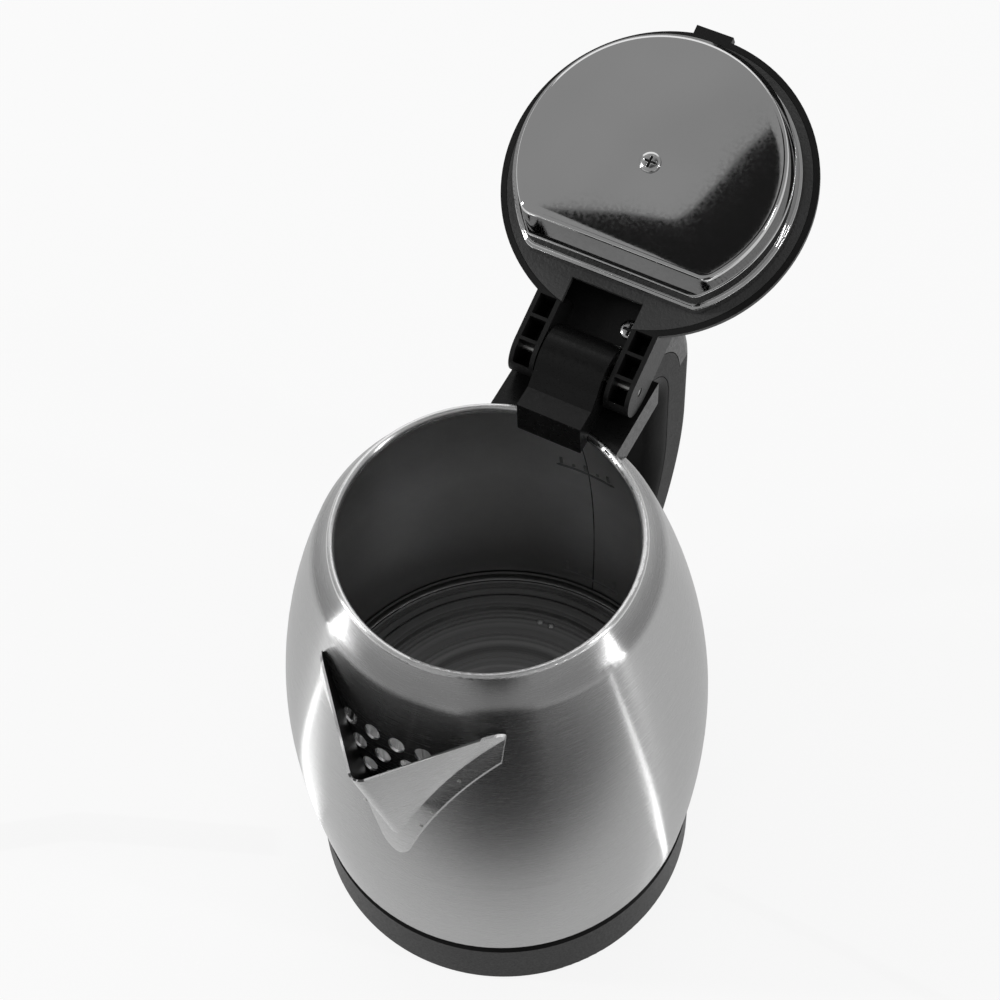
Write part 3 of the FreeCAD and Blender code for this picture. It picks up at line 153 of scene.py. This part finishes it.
# Painted shade: the satin inside is darkened towards the vessel's floor, to this share of its tone at the
# foot, between the two levels below
INSIDE_PAINTED_SHADE_SHARE = 0.36
PAINTED_SHADE_DARKEST_LEVEL = FLOOR_LEVEL + 4.0 * MM
PAINTED_SHADE_END_LEVEL = FLOOR_LEVEL + 75.0 * MM

# Studio, in metres beside the camera's line of sight
BACKDROP_WHITE = 0.88  # share of the floor's look that is white; the rest is lit paper with the shadow
MIRRORED_SHARE = 0.6  # how much of that backdrop the steel shows
WORLD_GREY = 0.34
FLOOR_HALF = 4.0
LAMP_AIM = (0, 0, 0.1)
STRIP_LEVEL = 0.004
RIGHT_STRIP = ((0.347, -0.231), (0.259, -0.165), (0.170, -0.096),
               (0.134, -0.072), (0.103, -0.053), (0.080, -0.039))
LEFT_STRIP = ((-0.295, -0.008), (-0.175, 0.003), (-0.095, -0.009))
FRONT_FLAG = ((-0.2, -1.2, 0.002), (0.2, -1.2, 0.002), (0.45, -0.16, 0.002), (-0.45, -0.16, 0.002))
FRONT_CARD = ((-0.45, -1.3, 0.0), (0.45, -1.3, 0.0), (0.1, -1.3, 0.7), (-0.1, -1.3, 0.7))
UPPER_FLAG_LEVEL = 1.5
UPPER_FLAG = ((-0.363, 0.093), (-0.313, 0.086), (-0.269, 0.099), (-0.229, 0.126), (-0.183, 0.160),
              (-0.11, 0.207), (0.3, 0.207), (0.3, -0.3), (-0.45, -0.3), (-0.45, 0.095))


def turned(point):
    """A place given beside the camera's line of sight, in the kettle's own frame."""
    return Matrix.Rotation(VIEW_AZIMUTH, 3, "Z") @ Vector(point)


def linked(name, data):
    """New object of the scene with this data."""
    item = bpy.data.objects.new(name, data)
    bpy.context.scene.collection.objects.link(item)
    return item


def make_camera():
    data = bpy.data.cameras.new("camera")
    data.sensor_width = SENSOR
    data.lens = VIEW_LENS
    camera = linked("camera", data)
    away = Vector((0, math.cos(VIEW_ELEVATION), -math.sin(VIEW_ELEVATION)))
    up = Vector((0, math.sin(VIEW_ELEVATION), math.cos(VIEW_ELEVATION)))
    right = Vector((1, 0, 0))
    across = math.cos(VIEW_ROLL) * right + math.sin(VIEW_ROLL) * up
    upward = -math.sin(VIEW_ROLL) * right + math.cos(VIEW_ROLL) * up
    place = Vector(VIEW_AIM) - away * VIEW_DISTANCE
    pose = Matrix.Identity(4)
    for column, way in enumerate((across, upward, -away, place)):
        for row, amount in enumerate(turned(way)):
            pose[row][column] = amount
    camera.matrix_world = pose
    bpy.context.scene.camera = camera


def on_open_lid(points):
    """Places, in millimetres on the closed lid, carried to the open lid."""
    hinge = Vector((0, HINGE_BACK, HINGE_RISE))
    lift = Matrix.Translation((0, 0, RIM_HEIGHT))
    swing = Matrix.Translation(hinge) @ Matrix.Rotation(-OPEN_ANGLE, 4, "X") @ Matrix.Translation(-hinge)
    pose = lift @ swing
    return [pose @ (Vector(point) * MM) for point in points]


def vessel_radius(level):
    """Outer radius of the steel between its foot and its shoulder."""
    if level < BELLY_LEVEL:
        run, drop = BELLY_LEVEL - FOOT_LEVEL, BELLY_RADIUS - FOOT_RADIUS
    else:
        run, drop = SHOULDER_LEVEL - BELLY_LEVEL, BELLY_RADIUS - SHOULDER_RADIUS
    bulge = (run * run + drop * drop) / (2 * drop)
    return BELLY_RADIUS - bulge + math.sqrt(bulge * bulge - (level - BELLY_LEVEL) ** 2)


def new_piece(name, points, faces, material, body):
    """A smooth mesh piece that moves with a body and takes the given material."""
    mesh = bpy.data.meshes.new(name)
    mesh.from_pydata(points, [], faces)
    mesh.validate()
    work = bmesh.new()
    work.from_mesh(mesh)
    bmesh.ops.recalc_face_normals(work, faces=work.faces)
    work.to_mesh(mesh)
    work.free()
    mesh.materials.append(material)
    for face in mesh.polygons:
        face.use_smooth = True
    piece = linked(name, mesh)
    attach(piece, body)
    return piece


def flattened(rings):
    return [point for ring in rings for point in ring]


def quads_between(rings, closed=True):
    """Faces that join equal rings, or open rows, of points one after another."""
    count = len(rings[0])
    last = count if closed else count - 1
    faces = []
    for ring in range(len(rings) - 1):
        for number in range(last):
            following = (number + 1) % count
            faces.append((ring * count + number, ring * count + following,
                          (ring + 1) * count + following, (ring + 1) * count + number))
    return faces


def joined(patches):
    """Points and faces of several patches as one."""
    points = []
    faces = []
    for more_points, more_faces in patches:
        first = len(points)
        points += more_points
        faces += [tuple(first + number for number in face) for face in more_faces]
    return points, faces


def pan_outline(radius, flat, corner):
    """Round outline with one flat side, with the same number of points for every size."""
    reach = radius - corner
    depth = flat - corner
    across = math.sqrt(reach * reach - depth * depth)
    turn = math.atan2(depth, across)
    bend = QUARTER_TURN - turn
    sweep = math.pi + 2 * turn
    points = []
    for number in range(FLAT_POINTS):
        points.append((across - 2 * across * number / FLAT_POINTS, flat))
    for number in range(CORNER_POINTS):
        angle = QUARTER_TURN + bend * number / CORNER_POINTS
        points.append((-across + corner * math.cos(angle), depth + corner * math.sin(angle)))
    for number in range(ROUND_POINTS):
        angle = math.pi - turn + sweep * number / ROUND_POINTS
        points.append((radius * math.cos(angle), radius * math.sin(angle)))
    for number in range(CORNER_POINTS):
        angle = turn + bend * number / CORNER_POINTS
        points.append((across + corner * math.cos(angle), depth + corner * math.sin(angle)))
    return points


def eased_levels(levels, rounds):
    """The levels of a pan with each corner of their profile rounded."""
    eased = [Vector(levels[0])]
    for before, level, after, size in zip(levels, levels[1:], levels[2:], rounds):
        before, level, after = Vector(before), Vector(level), Vector(after)
        start = level + (before - level).normalized() * size
        end = level + (after - level).normalized() * size
        for step in range(EASE_STEPS + 1):
            share = step / EASE_STEPS
            eased.append((1 - share) ** 2 * start + 2 * share * (1 - share) * level + share ** 2 * end)
    eased.append(Vector(levels[-1]))
    return eased


def make_liner(material):
    """Deep-drawn liner pan with rounded edges and a face that is slightly crowned."""
    rings = []
    for radius, flat, corner, height in eased_levels(LINER_LEVELS, LINER_ROUNDS):
        rings.append([(x, y, height) for x, y in pan_outline(radius, flat, corner)])
    edge = rings[-1]
    for share in LINER_FACE_SHARES:
        dimple = DIMPLE_DEPTH * math.exp(-(share / DIMPLE_SHARE) ** 2)
        height = edge[0][2] - LINER_CROWN * (1 - share * share) + dimple
        rings.append([(x * share, y * share, height) for x, y, z in edge])
    points = flattened(rings)
    faces = quads_between(rings)
    faces.append(tuple(range(len(points) - len(edge), len(points))))
    liner = new_piece("polished_liner", on_open_lid(points), faces, material, "lid")
    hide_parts("lid_liner")


def in_cross_recess(x, y):
    near, far = sorted((abs(x), abs(y)))
    return near < SLOT_HALF_WIDTH and far < SLOT_REACH


def make_pan_screw(name, replaced, place, seat, tip, material, shade):
    """Pan-head screw of the lid with a cross recess whose faces get a dark material as painted shade; its
    head hangs below the seat.
    """
    across, back = place
    profile = [(SHANK_RADIUS, tip), (SHANK_RADIUS, seat), (HEAD_RADIUS, seat)]
    head_start = len(profile)
    for step in range(HEAD_STEPS + 1):
        share = max(HEAD_TIP_SHARE, 1 - step / HEAD_STEPS)
        rise = HEAD_RIM_SHARE + (1 - HEAD_RIM_SHARE) * math.sqrt(1 - share ** 4)
        profile.append((HEAD_RADIUS * share, seat - HEAD_HEIGHT * rise))
    rings = []
    for number, (radius, height) in enumerate(profile):
        ring = []
        for step in range(HEAD_POINTS):
            angle = FULL_TURN * step / HEAD_POINTS
            x, y = radius * math.cos(angle), radius * math.sin(angle)
            sunk = SLOT_DEPTH if number > head_start and in_cross_recess(x, y) else 0.0
            ring.append((across + x, back + y, height + sunk))
        rings.append(ring)
    points = flattened(rings)
    faces = quads_between(rings)
    faces.append(tuple(range(len(points) - HEAD_POINTS, len(points))))
    faces.append(tuple(range(HEAD_POINTS)))
    screw = new_piece(name, on_open_lid(points), faces, material, "lid")
    # Painted shade: the faces in the cross recess take the dark second material
    screw.data.materials.append(shade)
    for face in screw.data.polygons:
        corners = [points[corner] for corner in face.vertices]
        x = sum(corner[0] for corner in corners) / len(corners) - across
        y = sum(corner[1] for corner in corners) / len(corners) - back
        if face.index > (head_start + 1) * HEAD_POINTS and in_cross_recess(x, y):
            face.material_index = 1
    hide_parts(replaced)


def on_wall(angle, level, lift):
    """Place on the vessel's inner wall; the angle runs from the handle's side."""
    radius = vessel_radius(level) - STEEL_WALL - lift
    return (radius * math.sin(angle), radius * math.cos(angle), level)


def wall_patch(start, end, low, high, lift):
    """Raised strip on the inner wall with sloping edges."""
    levels = (low, low + lift, high - lift, high)
    rows = []
    for level in levels:
        row = []
        for column in range(MARK_COLUMNS + 1):
            angle = start + (end - start) * column / MARK_COLUMNS
            edge = level in (low, high) or column in (0, MARK_COLUMNS)
            row.append(on_wall(angle, level, MARK_SUNK_EDGE if edge else lift))
        rows.append(row)
    return flattened(rows), quads_between(rows, closed=False)


def make_level_marks(material):
    """Plain raised level lines with ticks at the back of the vessel."""
    patches = []
    for level, lift in MARKS:
        patches.append(wall_patch(MARK_START, MARK_END, level - MARK_HALF_LINE, level + MARK_HALF_LINE, lift))
        for number in range(TICKS):
            middle = MARK_START + (MARK_END - MARK_START) * (number + 0.5) / TICKS
            top = level + (LONG_TICK if number % 2 == 0 else SHORT_TICK)
            patches.append(wall_patch(middle - TICK_HALF_ANGLE, middle + TICK_HALF_ANGLE,
                                      level + TICK_GAP, top, lift))
    points, faces = joined(patches)
    new_piece("level_marks", points, faces, material, "kettle")


def make_weld_seam(material):
    """Dark upright weld line on the inner wall."""
    rows = []
    for number in range(WELD_ROWS + 1):
        level = WELD_FOOT + WELD_RUN * number / WELD_ROWS
        spread = WELD_HALF_WIDTH / vessel_radius(level)
        rows.append([on_wall(WELD_ANGLE - spread, level, WELD_SUNK_EDGE),
                     on_wall(WELD_ANGLE, level, WELD_RELIEF),
                     on_wall(WELD_ANGLE + spread, level, WELD_SUNK_EDGE)])
    faces = quads_between(rows, closed=False)
    new_piece("wall_weld", flattened(rows), faces, material, "kettle")


def dome(centre, outward, radius, height):
    """Small rounded dot that stands on a surface."""
    outward = Vector(outward).normalized()
    side = outward.orthogonal().normalized()
    other = outward.cross(side)
    centre = Vector(centre)
    rings = []
    for share, lift in DOT_PROFILE:
        ring = []
        for number in range(DOT_POINTS):
            angle = FULL_TURN * number / DOT_POINTS
            way = side * math.cos(angle) + other * math.sin(angle)
            ring.append(centre + way * radius * share + outward * height * lift)
        rings.append(ring)
    points = flattened(rings)
    faces = quads_between(rings)
    faces.append(tuple(range(len(points) - DOT_POINTS, len(points))))
    return points, faces


def make_spot_welds(material):
    """Dots where the beak's flange is welded to the vessel, on both sides."""
    dots = []
    for angle, height in SPOT_WELDS:
        level = height * MM
        radius = vessel_radius(level) + STEEL_WALL
        for side in (-1, 1):
            turn = math.radians(angle) * side
            way = (math.sin(turn), -math.cos(turn), SPOT_UPWARD)
            place = (radius * math.sin(turn), -radius * math.cos(turn), level)
            dots.append(dome(place, way, SPOT_RADIUS, SPOT_RELIEF))
    points, faces = joined(dots)
    new_piece("spot_welds", points, faces, material, "kettle")


def make_floor_dots(material):
    """Two pressed dots in the vessel's floor."""
    dots = []
    for x, y in FLOOR_DOTS:
        dots.append(dome((x * MM, y * MM, FLOOR_LEVEL), (0, 0, 1), FLOOR_DOT_RADIUS, FLOOR_DOT_RELIEF))
    points, faces = joined(dots)
    new_piece("floor_dots", points, faces, material, "kettle")


def make_floor_seam(material):
    """Dark ring at the joint of the floor and the wall, painted shade of the crevice there."""
    rings = []
    for number in range(SEAM_POINTS):
        angle = FULL_TURN * number / SEAM_POINTS
        ring = []
        for step in range(SEAM_TUBE_POINTS):
            turn = FULL_TURN * step / SEAM_TUBE_POINTS
            radius = SEAM_RADIUS + SEAM_TUBE * math.cos(turn)
            height = SEAM_LEVEL + SEAM_TUBE * math.sin(turn)
            ring.append((radius * math.sin(angle), radius * math.cos(angle), height))
        rings.append(ring)
    points = flattened(rings)
    round_again = rings + rings[:1]
    faces = [tuple(number % len(points) for number in face) for face in quads_between(round_again)]
    new_piece("floor_seam", points, faces, material, "kettle")


def new_material(name):
    material = bpy.data.materials.new(name)
    material.use_nodes = True
    shader = material.node_tree.nodes["Principled BSDF"]
    return material, material.node_tree, shader


def add(tree, kind, **values):
    node = tree.nodes.new(kind)
    for name, value in values.items():
        setattr(node, name, value)
    return node


def math_node(tree, operation, first, second=None):
    node = add(tree, "ShaderNodeMath", operation=operation)
    for socket, value in zip(node.inputs, (first, second)):
        if value is None:
            continue
        if isinstance(value, (int, float)):
            socket.default_value = value
        else:
            tree.links.new(value, socket)
    return node.outputs[0]


def ramp(tree, amount, low, high, start=NOISE_LOW, end=NOISE_HIGH):
    """Map an amount between start and end to a value or grey between low and high."""
    node = add(tree, "ShaderNodeMapRange")
    node.inputs["From Min"].default_value = start
    node.inputs["From Max"].default_value = end
    node.inputs["To Min"].default_value = low
    node.inputs["To Max"].default_value = high
    tree.links.new(amount, node.inputs["Value"])
    return node.outputs["Result"]


def object_place(tree):
    return add(tree, "ShaderNodeTexCoord").outputs["Object"]


def split_axes(tree, vector):
    node = add(tree, "ShaderNodeSeparateXYZ")
    tree.links.new(vector, node.inputs[0])
    return node.outputs


def noise(tree, place, scale, detail, roughness=0.6):
    node = add(tree, "ShaderNodeTexNoise")
    node.inputs["Scale"].default_value = scale
    node.inputs["Detail"].default_value = detail
    node.inputs["Roughness"].default_value = roughness
    tree.links.new(place, node.inputs["Vector"])
    return node.outputs["Fac"]


def bump(tree, shader, height, distance):
    node = add(tree, "ShaderNodeBump")
    node.inputs["Strength"].default_value = 1.0
    node.inputs["Distance"].default_value = distance
    tree.links.new(height, node.inputs["Height"])
    tree.links.new(node.outputs["Normal"], shader.inputs["Normal"])


def blend_surface(tree, output, share, first, second):
    """Show the second shader by its share and the first one for the rest."""
    blend = add(tree, "ShaderNodeMixShader")
    tree.links.new(share, blend.inputs[0])
    tree.links.new(first.outputs[0], blend.inputs[1])
    tree.links.new(second.outputs[0], blend.inputs[2])
    tree.links.new(blend.outputs[0], tree.nodes[output].inputs["Surface"])


def brushed_lines(tree, axes, brush, detail, roughness):
    """Noise that runs slowly round the vessel's axis and quickly up it."""
    along, across = brush
    angle = math_node(tree, "ARCTAN2", axes["X"], math_node(tree, "MULTIPLY", axes["Y"], -1.0))
    place = add(tree, "ShaderNodeCombineXYZ")
    tree.links.new(math_node(tree, "MULTIPLY", angle, along), place.inputs[0])
    tree.links.new(math_node(tree, "MULTIPLY", axes["Z"], across), place.inputs[1])
    return noise(tree, place.outputs[0], 1.0, detail, roughness)


def outside_share(tree, axes):
    """One on faces that look away from the vessel's axis, zero on those that look towards it."""
    normal = split_axes(tree, add(tree, "ShaderNodeNewGeometry").outputs["Normal"])
    x = math_node(tree, "MULTIPLY", normal["X"], axes["X"])
    y = math_node(tree, "MULTIPLY", normal["Y"], axes["Y"])
    return math_node(tree, "GREATER_THAN", math_node(tree, "ADD", x, y), 0.0)


def brushed_steel(name, outside, inside):
    """Steel brushed round its axis outside, with a painted highlight as a brighter tone on the lip at the
    mouth, and satin inside with painted shade that darkens it towards the floor.
    """
    material, tree, shader = new_material(name)
    place = object_place(tree)
    axes = split_axes(tree, place)
    fine = brushed_lines(tree, axes, FINE_BRUSH, 3.0, 0.7)
    broad = brushed_lines(tree, axes, BROAD_BRUSH, 2.0, 0.6)
    lines = math_node(tree, "ADD", math_node(tree, "MULTIPLY", fine, FINE_SHARE),
                      math_node(tree, "MULTIPLY", broad, 1.0 - FINE_SHARE))
    # Painted highlight: brighter tone on the lip at the mouth
    lip = ramp(tree, axes["Z"], 0.0, 1.0, LIP_START, LIP_END)
    mix = add(tree, "ShaderNodeMix", data_type="FLOAT")
    tree.links.new(lip, mix.inputs["Factor"])
    tree.links.new(ramp(tree, lines, *outside), mix.inputs["A"])
    tree.links.new(ramp(tree, lines, *LIP_PAINTED_HIGHLIGHT_TONE), mix.inputs["B"])
    tree.links.new(mix.outputs["Result"], shader.inputs["Base Color"])
    tree.links.new(ramp(tree, lines, *BRUSH_ROUGH), shader.inputs["Roughness"])
    shader.inputs["Metallic"].default_value = 1.0
    shader.inputs["Anisotropic"].default_value = 1.0
    shader.inputs["Anisotropic Rotation"].default_value = 0.25
    tangent = add(tree, "ShaderNodeTangent", direction_type="RADIAL", axis="Z")
    tree.links.new(tangent.outputs[0], shader.inputs["Tangent"])
    bump(tree, shader, lines, BRUSH_DEPTH)

    satin = add(tree, "ShaderNodeBsdfPrincipled")
    cloud = noise(tree, place, 60.0, 4.0)
    # Painted shade: the inside tone darkens towards the vessel's floor
    shade = ramp(tree, axes["Z"], INSIDE_PAINTED_SHADE_SHARE, 1.0, PAINTED_SHADE_DARKEST_LEVEL, PAINTED_SHADE_END_LEVEL)
    painted_shade_tone = math_node(tree, "MULTIPLY", ramp(tree, cloud, *inside), shade)
    tree.links.new(painted_shade_tone, satin.inputs["Base Color"])
    tree.links.new(ramp(tree, cloud, *INSIDE_ROUGH), satin.inputs["Roughness"])
    satin.inputs["Metallic"].default_value = 1.0
    brushed_share = math_node(tree, "MAXIMUM", outside_share(tree, axes), lip)
    blend_surface(tree, "Material Output", brushed_share, satin, shader)
    return material


def polished_steel(name, tone, rough):
    """Mirror-like steel with a faint haze; tone and rough are ranges."""
    material, tree, shader = new_material(name)
    place = object_place(tree)
    haze = noise(tree, place, 22.0, 2.0, 0.5)
    tree.links.new(ramp(tree, haze, *tone), shader.inputs["Base Color"])
    scuff = noise(tree, place, 900.0, 2.0, 0.5)
    tree.links.new(ramp(tree, scuff, *rough), shader.inputs["Roughness"])
    shader.inputs["Metallic"].default_value = 1.0
    bump(tree, shader, haze, 0.02 * MM)
    return material


def moulded_plastic(name, tone, rough, grain, depth, gloss=0.25):
    """Moulded plastic with a spark-eroded grain, whose size and depth are in millimetres."""
    material, tree, shader = new_material(name)
    place = object_place(tree)
    pits = noise(tree, place, 1.0 / (grain * MM), 2.0)
    wear = noise(tree, place, 30.0, 3.0)
    tree.links.new(ramp(tree, wear, 0.8 * tone, 1.25 * tone), shader.inputs["Base Color"])
    tree.links.new(ramp(tree, pits, rough - 0.06, rough + 0.08), shader.inputs["Roughness"])
    shader.inputs["Specular IOR Level"].default_value = gloss
    bump(tree, shader, pits, depth * MM)
    return material


def plain_metal(name, colour, rough):
    """Drawn or cast metal of the inner pieces, a little uneven."""
    material, tree, shader = new_material(name)
    cloud = noise(tree, object_place(tree), 120.0, 4.0)
    mix = add(tree, "ShaderNodeMix", data_type="RGBA")
    mix.inputs["A"].default_value = tuple(0.8 * c for c in colour) + (1.0,)
    mix.inputs["B"].default_value = tuple(min(1.0, 1.1 * c) for c in colour) + (1.0,)
    tree.links.new(cloud, mix.inputs["Factor"])
    tree.links.new(mix.outputs["Result"], shader.inputs["Base Color"])
    tree.links.new(ramp(tree, cloud, rough - 0.08, rough + 0.1), shader.inputs["Roughness"])
    shader.inputs["Metallic"].default_value = 1.0
    bump(tree, shader, cloud, 0.05 * MM)
    return material


def ringed_metal(name, tone, rough):
    """Pressed steel whose tone, a range, runs in rings round the vessel's axis; the rings in the tone are
    painted reflections, and the bump gives them relief.
    """
    material, tree, shader = new_material(name)
    axes = split_axes(tree, object_place(tree))
    square = math_node(tree, "ADD", math_node(tree, "MULTIPLY", axes["X"], axes["X"]),
                       math_node(tree, "MULTIPLY", axes["Y"], axes["Y"]))
    place = add(tree, "ShaderNodeCombineXYZ")
    tree.links.new(math_node(tree, "SQRT", square), place.inputs[0])
    rings = noise(tree, place.outputs[0], 260.0, 2.0)
    tree.links.new(ramp(tree, rings, *tone), shader.inputs["Base Color"])
    tree.links.new(ramp(tree, rings, rough - 0.05, rough + 0.05), shader.inputs["Roughness"])
    shader.inputs["Metallic"].default_value = 1.0
    bump(tree, shader, rings, 0.2 * MM)
    return material


def matt_surface(name, scale, detail, tone, rough):
    """Paper or felt of the studio, without gloss; tone is a range."""
    material, tree, shader = new_material(name)
    fibre = noise(tree, object_place(tree), scale, detail)
    tree.links.new(ramp(tree, fibre, *tone), shader.inputs["Base Color"])
    shader.inputs["Roughness"].default_value = rough
    shader.inputs["Specular IOR Level"].default_value = 0.0
    return material, tree, shader


def studio_mesh(name, points, faces, material):
    mesh = bpy.data.meshes.new(name)
    mesh.from_pydata(points, [], faces)
    mesh.materials.append(material)
    return linked(name, mesh)


def make_floor():
    """Pale paper that the camera and the steel see mostly as plain white."""
    material, tree, shader = matt_surface("floor_paper", 700.0, 3.0, (0.90, 0.94), 0.9)
    rays = add(tree, "ShaderNodeLightPath").outputs
    mirrored = math_node(tree, "MAXIMUM", rays["Is Glossy Ray"], rays["Is Transmission Ray"])
    mirrored = math_node(tree, "MULTIPLY", mirrored, MIRRORED_SHARE)
    seen = math_node(tree, "MAXIMUM", rays["Is Camera Ray"], mirrored)
    white = add(tree, "ShaderNodeEmission")
    white.inputs["Strength"].default_value = 1.0
    white_share = math_node(tree, "MULTIPLY", seen, BACKDROP_WHITE)
    blend_surface(tree, "Material Output", white_share, shader, white)
    half = FLOOR_HALF
    corners = [(-half, -half, 0), (half, -half, 0), (half, half, 0), (-half, half, 0)]
    floor = studio_mesh("floor", corners, [(0, 1, 2, 3)], material)


def softbox(name, place, width, height, power):
    data = bpy.data.lights.new(name, "AREA")
    data.shape = "RECTANGLE"
    data.size = width
    data.size_y = height
    data.energy = power
    lamp = linked(name, data)
    lamp.location = turned(place)
    lamp.rotation_euler = (turned(LAMP_AIM) - lamp.location).to_track_quat("-Z", "Y").to_euler()


def flag(name, corners):
    """Dark card of the studio, which only shapes what the steel reflects."""
    material, tree, shader = matt_surface(name, 300.0, 2.0, (0.015, 0.03), 0.95)
    points = [turned(corner) for corner in corners]
    card = studio_mesh(name, points, [tuple(range(len(points)))], material)
    card.visible_camera = False
    card.visible_diffuse = False
    card.visible_shadow = False


def strip_light(name, places, width, strength):
    """Narrow glowing tube on the floor, which the brushed steel shows as an upright streak."""
    material = bpy.data.materials.new(name)
    material.use_nodes = True
    tree = material.node_tree
    glow = add(tree, "ShaderNodeEmission")
    glow.inputs["Strength"].default_value = strength
    tree.links.new(glow.outputs[0], tree.nodes["Material Output"].inputs["Surface"])
    rows = []
    for x, y in places:
        side = Vector((-y, x)).normalized() * width / 2
        rows.append([turned((x - side.x, y - side.y, STRIP_LEVEL)),
                     turned((x + side.x, y + side.y, STRIP_LEVEL))])
    tube = studio_mesh(name, flattened(rows), quads_between(rows, closed=False), material)
    tube.visible_camera = False
    tube.visible_diffuse = False


def make_world():
    """Grey surroundings that the camera itself sees as white."""
    world = bpy.data.worlds.new("studio")
    world.use_nodes = True
    tree = world.node_tree
    sky = tree.nodes["Background"]
    sky.inputs["Color"].default_value = (WORLD_GREY, WORLD_GREY, WORLD_GREY, 1.0)
    white = add(tree, "ShaderNodeBackground")
    white.inputs["Color"].default_value = (1.0, 1.0, 1.0, 1.0)
    rays = add(tree, "ShaderNodeLightPath").outputs
    blend_surface(tree, "World Output", rays["Is Camera Ray"], sky, white)
    bpy.context.scene.world = world


def make_light():
    make_world()
    softbox("left_softbox", (-1.4, 0.05, 1.0), width=0.06, height=1.2, power=7.0)
    softbox("right_softbox", (1.2, -0.55, 0.9), width=0.03, height=1.2, power=3.5)
    softbox("back_softbox", (0.1, 1.6, 1.3), width=2.6, height=1.6, power=11.0)
    strip_light("right_strip", RIGHT_STRIP, width=0.005, strength=4.0)
    strip_light("left_strip", LEFT_STRIP, width=0.012, strength=4.0)
    flag("front_flag", FRONT_FLAG)
    flag("front_card", FRONT_CARD)
    flag("upper_flag", [(x, y, UPPER_FLAG_LEVEL) for x, y in UPPER_FLAG])


# Painted light: the inside tone of the vessel is set high to brighten its dim interior
steel = brushed_steel("brushed_steel", outside=(0.48, 0.58), inside=(0.90, 0.96))
# Painted light and painted shade: the beak's outside is a lighter copy of the steel and its inside a much
# darker one
beak_steel = brushed_steel("beak_steel", outside=(0.72, 0.82), inside=(0.10, 0.15))
liner_steel = polished_steel("liner_steel", tone=(0.60, 0.66), rough=(0.03, 0.07))
screw_steel = polished_steel("screw_steel", tone=(0.60, 0.70), rough=(0.14, 0.24))
grip_plastic = moulded_plastic("grip_plastic", tone=0.012, rough=0.45, grain=0.6, depth=0.08, gloss=0.08)
satin_plastic = moulded_plastic("satin_plastic", tone=0.007, rough=0.30, grain=1.2, depth=0.02, gloss=0.22)
base_plastic = moulded_plastic("base_plastic", tone=0.008, rough=0.38, grain=0.9, depth=0.03, gloss=0.14)
lid_plastic = moulded_plastic("lid_plastic", tone=0.011, rough=0.42, grain=0.5, depth=0.06)
panel_plastic = moulded_plastic("panel_plastic", tone=0.062, rough=0.50, grain=1.1, depth=0.4)
inner_plastic = moulded_plastic("inner_plastic", tone=0.08, rough=0.5, grain=1.0, depth=0.03)
duct_plastic = moulded_plastic("duct_plastic", tone=0.42, rough=0.5, grain=1.0, depth=0.03)
lead_rubber = moulded_plastic("lead_rubber", tone=0.16, rough=0.55, grain=0.8, depth=0.03)
inner_steel = plain_metal("inner_steel", colour=(0.50, 0.50, 0.50), rough=0.35)
# Painted shade and painted reflection: the floor's steel has a dark tone with lighter rings
floor_steel = ringed_metal("floor_steel", tone=(0.08, 0.30), rough=0.28)
alloy = plain_metal("alloy", colour=(0.62, 0.63, 0.64), rough=0.45)
brass = plain_metal("brass", colour=(0.72, 0.57, 0.30), rough=0.28)
zinc_steel = plain_metal("zinc_steel", colour=(0.58, 0.58, 0.57), rough=0.32)
# Dark metal of the weld line, and painted shade in the floor's crevice and in the screws' cross recesses
dark_seam_and_painted_shade = plain_metal("dark_seam_and_painted_shade", colour=(0.05, 0.05, 0.05), rough=0.5)

MATERIAL_OF = {
    steel: ("body_shell",),
    floor_steel: ("floor_plate",),
    beak_steel: ("spout_beak",),
    liner_steel: ("lid_liner",),
    screw_steel: ("lid_screw", "lid_plate_screw", "bracket_screws"),
    grip_plastic: ("handle_grip", "handle_front_cover"),
    satin_plastic: ("handle_head", "rocker_switch", "hinge_bracket"),
    base_plastic: ("base_skirt", "bottom_cover"),
    lid_plastic: ("lid_cover",),
    panel_plastic: ("lid_inner_plate",),
    inner_plastic: ("coupler_socket", "control_body", "steam_switch", "trip_lever"),
    duct_plastic: ("steam_tube",),
    lead_rubber: ("live_lead", "switch_lead", "neutral_lead", "earth_lead"),
    alloy: ("heat_spreader", "heating_element"),
    brass: ("coupler_contacts", "bimetal_discs", "steam_bimetal"),
    zinc_steel: ("element_terminals", "bottom_screws", "control_screws", "upper_mount", "hinge_pin",
                 "lower_mount", "handle_screw", "rocker_pin", "lever_pin"),
}
for material, members in MATERIAL_OF.items():
    for member in members:
        data = nodes[member].data
        data.materials.clear()
        data.materials.append(material)

make_liner(liner_steel)
make_pan_screw("liner_pan_screw", "lid_screw", (0.0, 0.0), -17.7, -0.7, screw_steel, dark_seam_and_painted_shade)
make_pan_screw("back_pan_screw", "lid_plate_screw", (8.5, 47.0), 16.5, 17.7, screw_steel, dark_seam_and_painted_shade)
make_level_marks(inner_steel)
make_weld_seam(dark_seam_and_painted_shade)
make_spot_welds(zinc_steel)
make_floor_dots(inner_steel)
make_floor_seam(dark_seam_and_painted_shade)
make_camera()
make_floor()
make_light()

bpy.context.scene.view_settings.view_transform = "Standard"
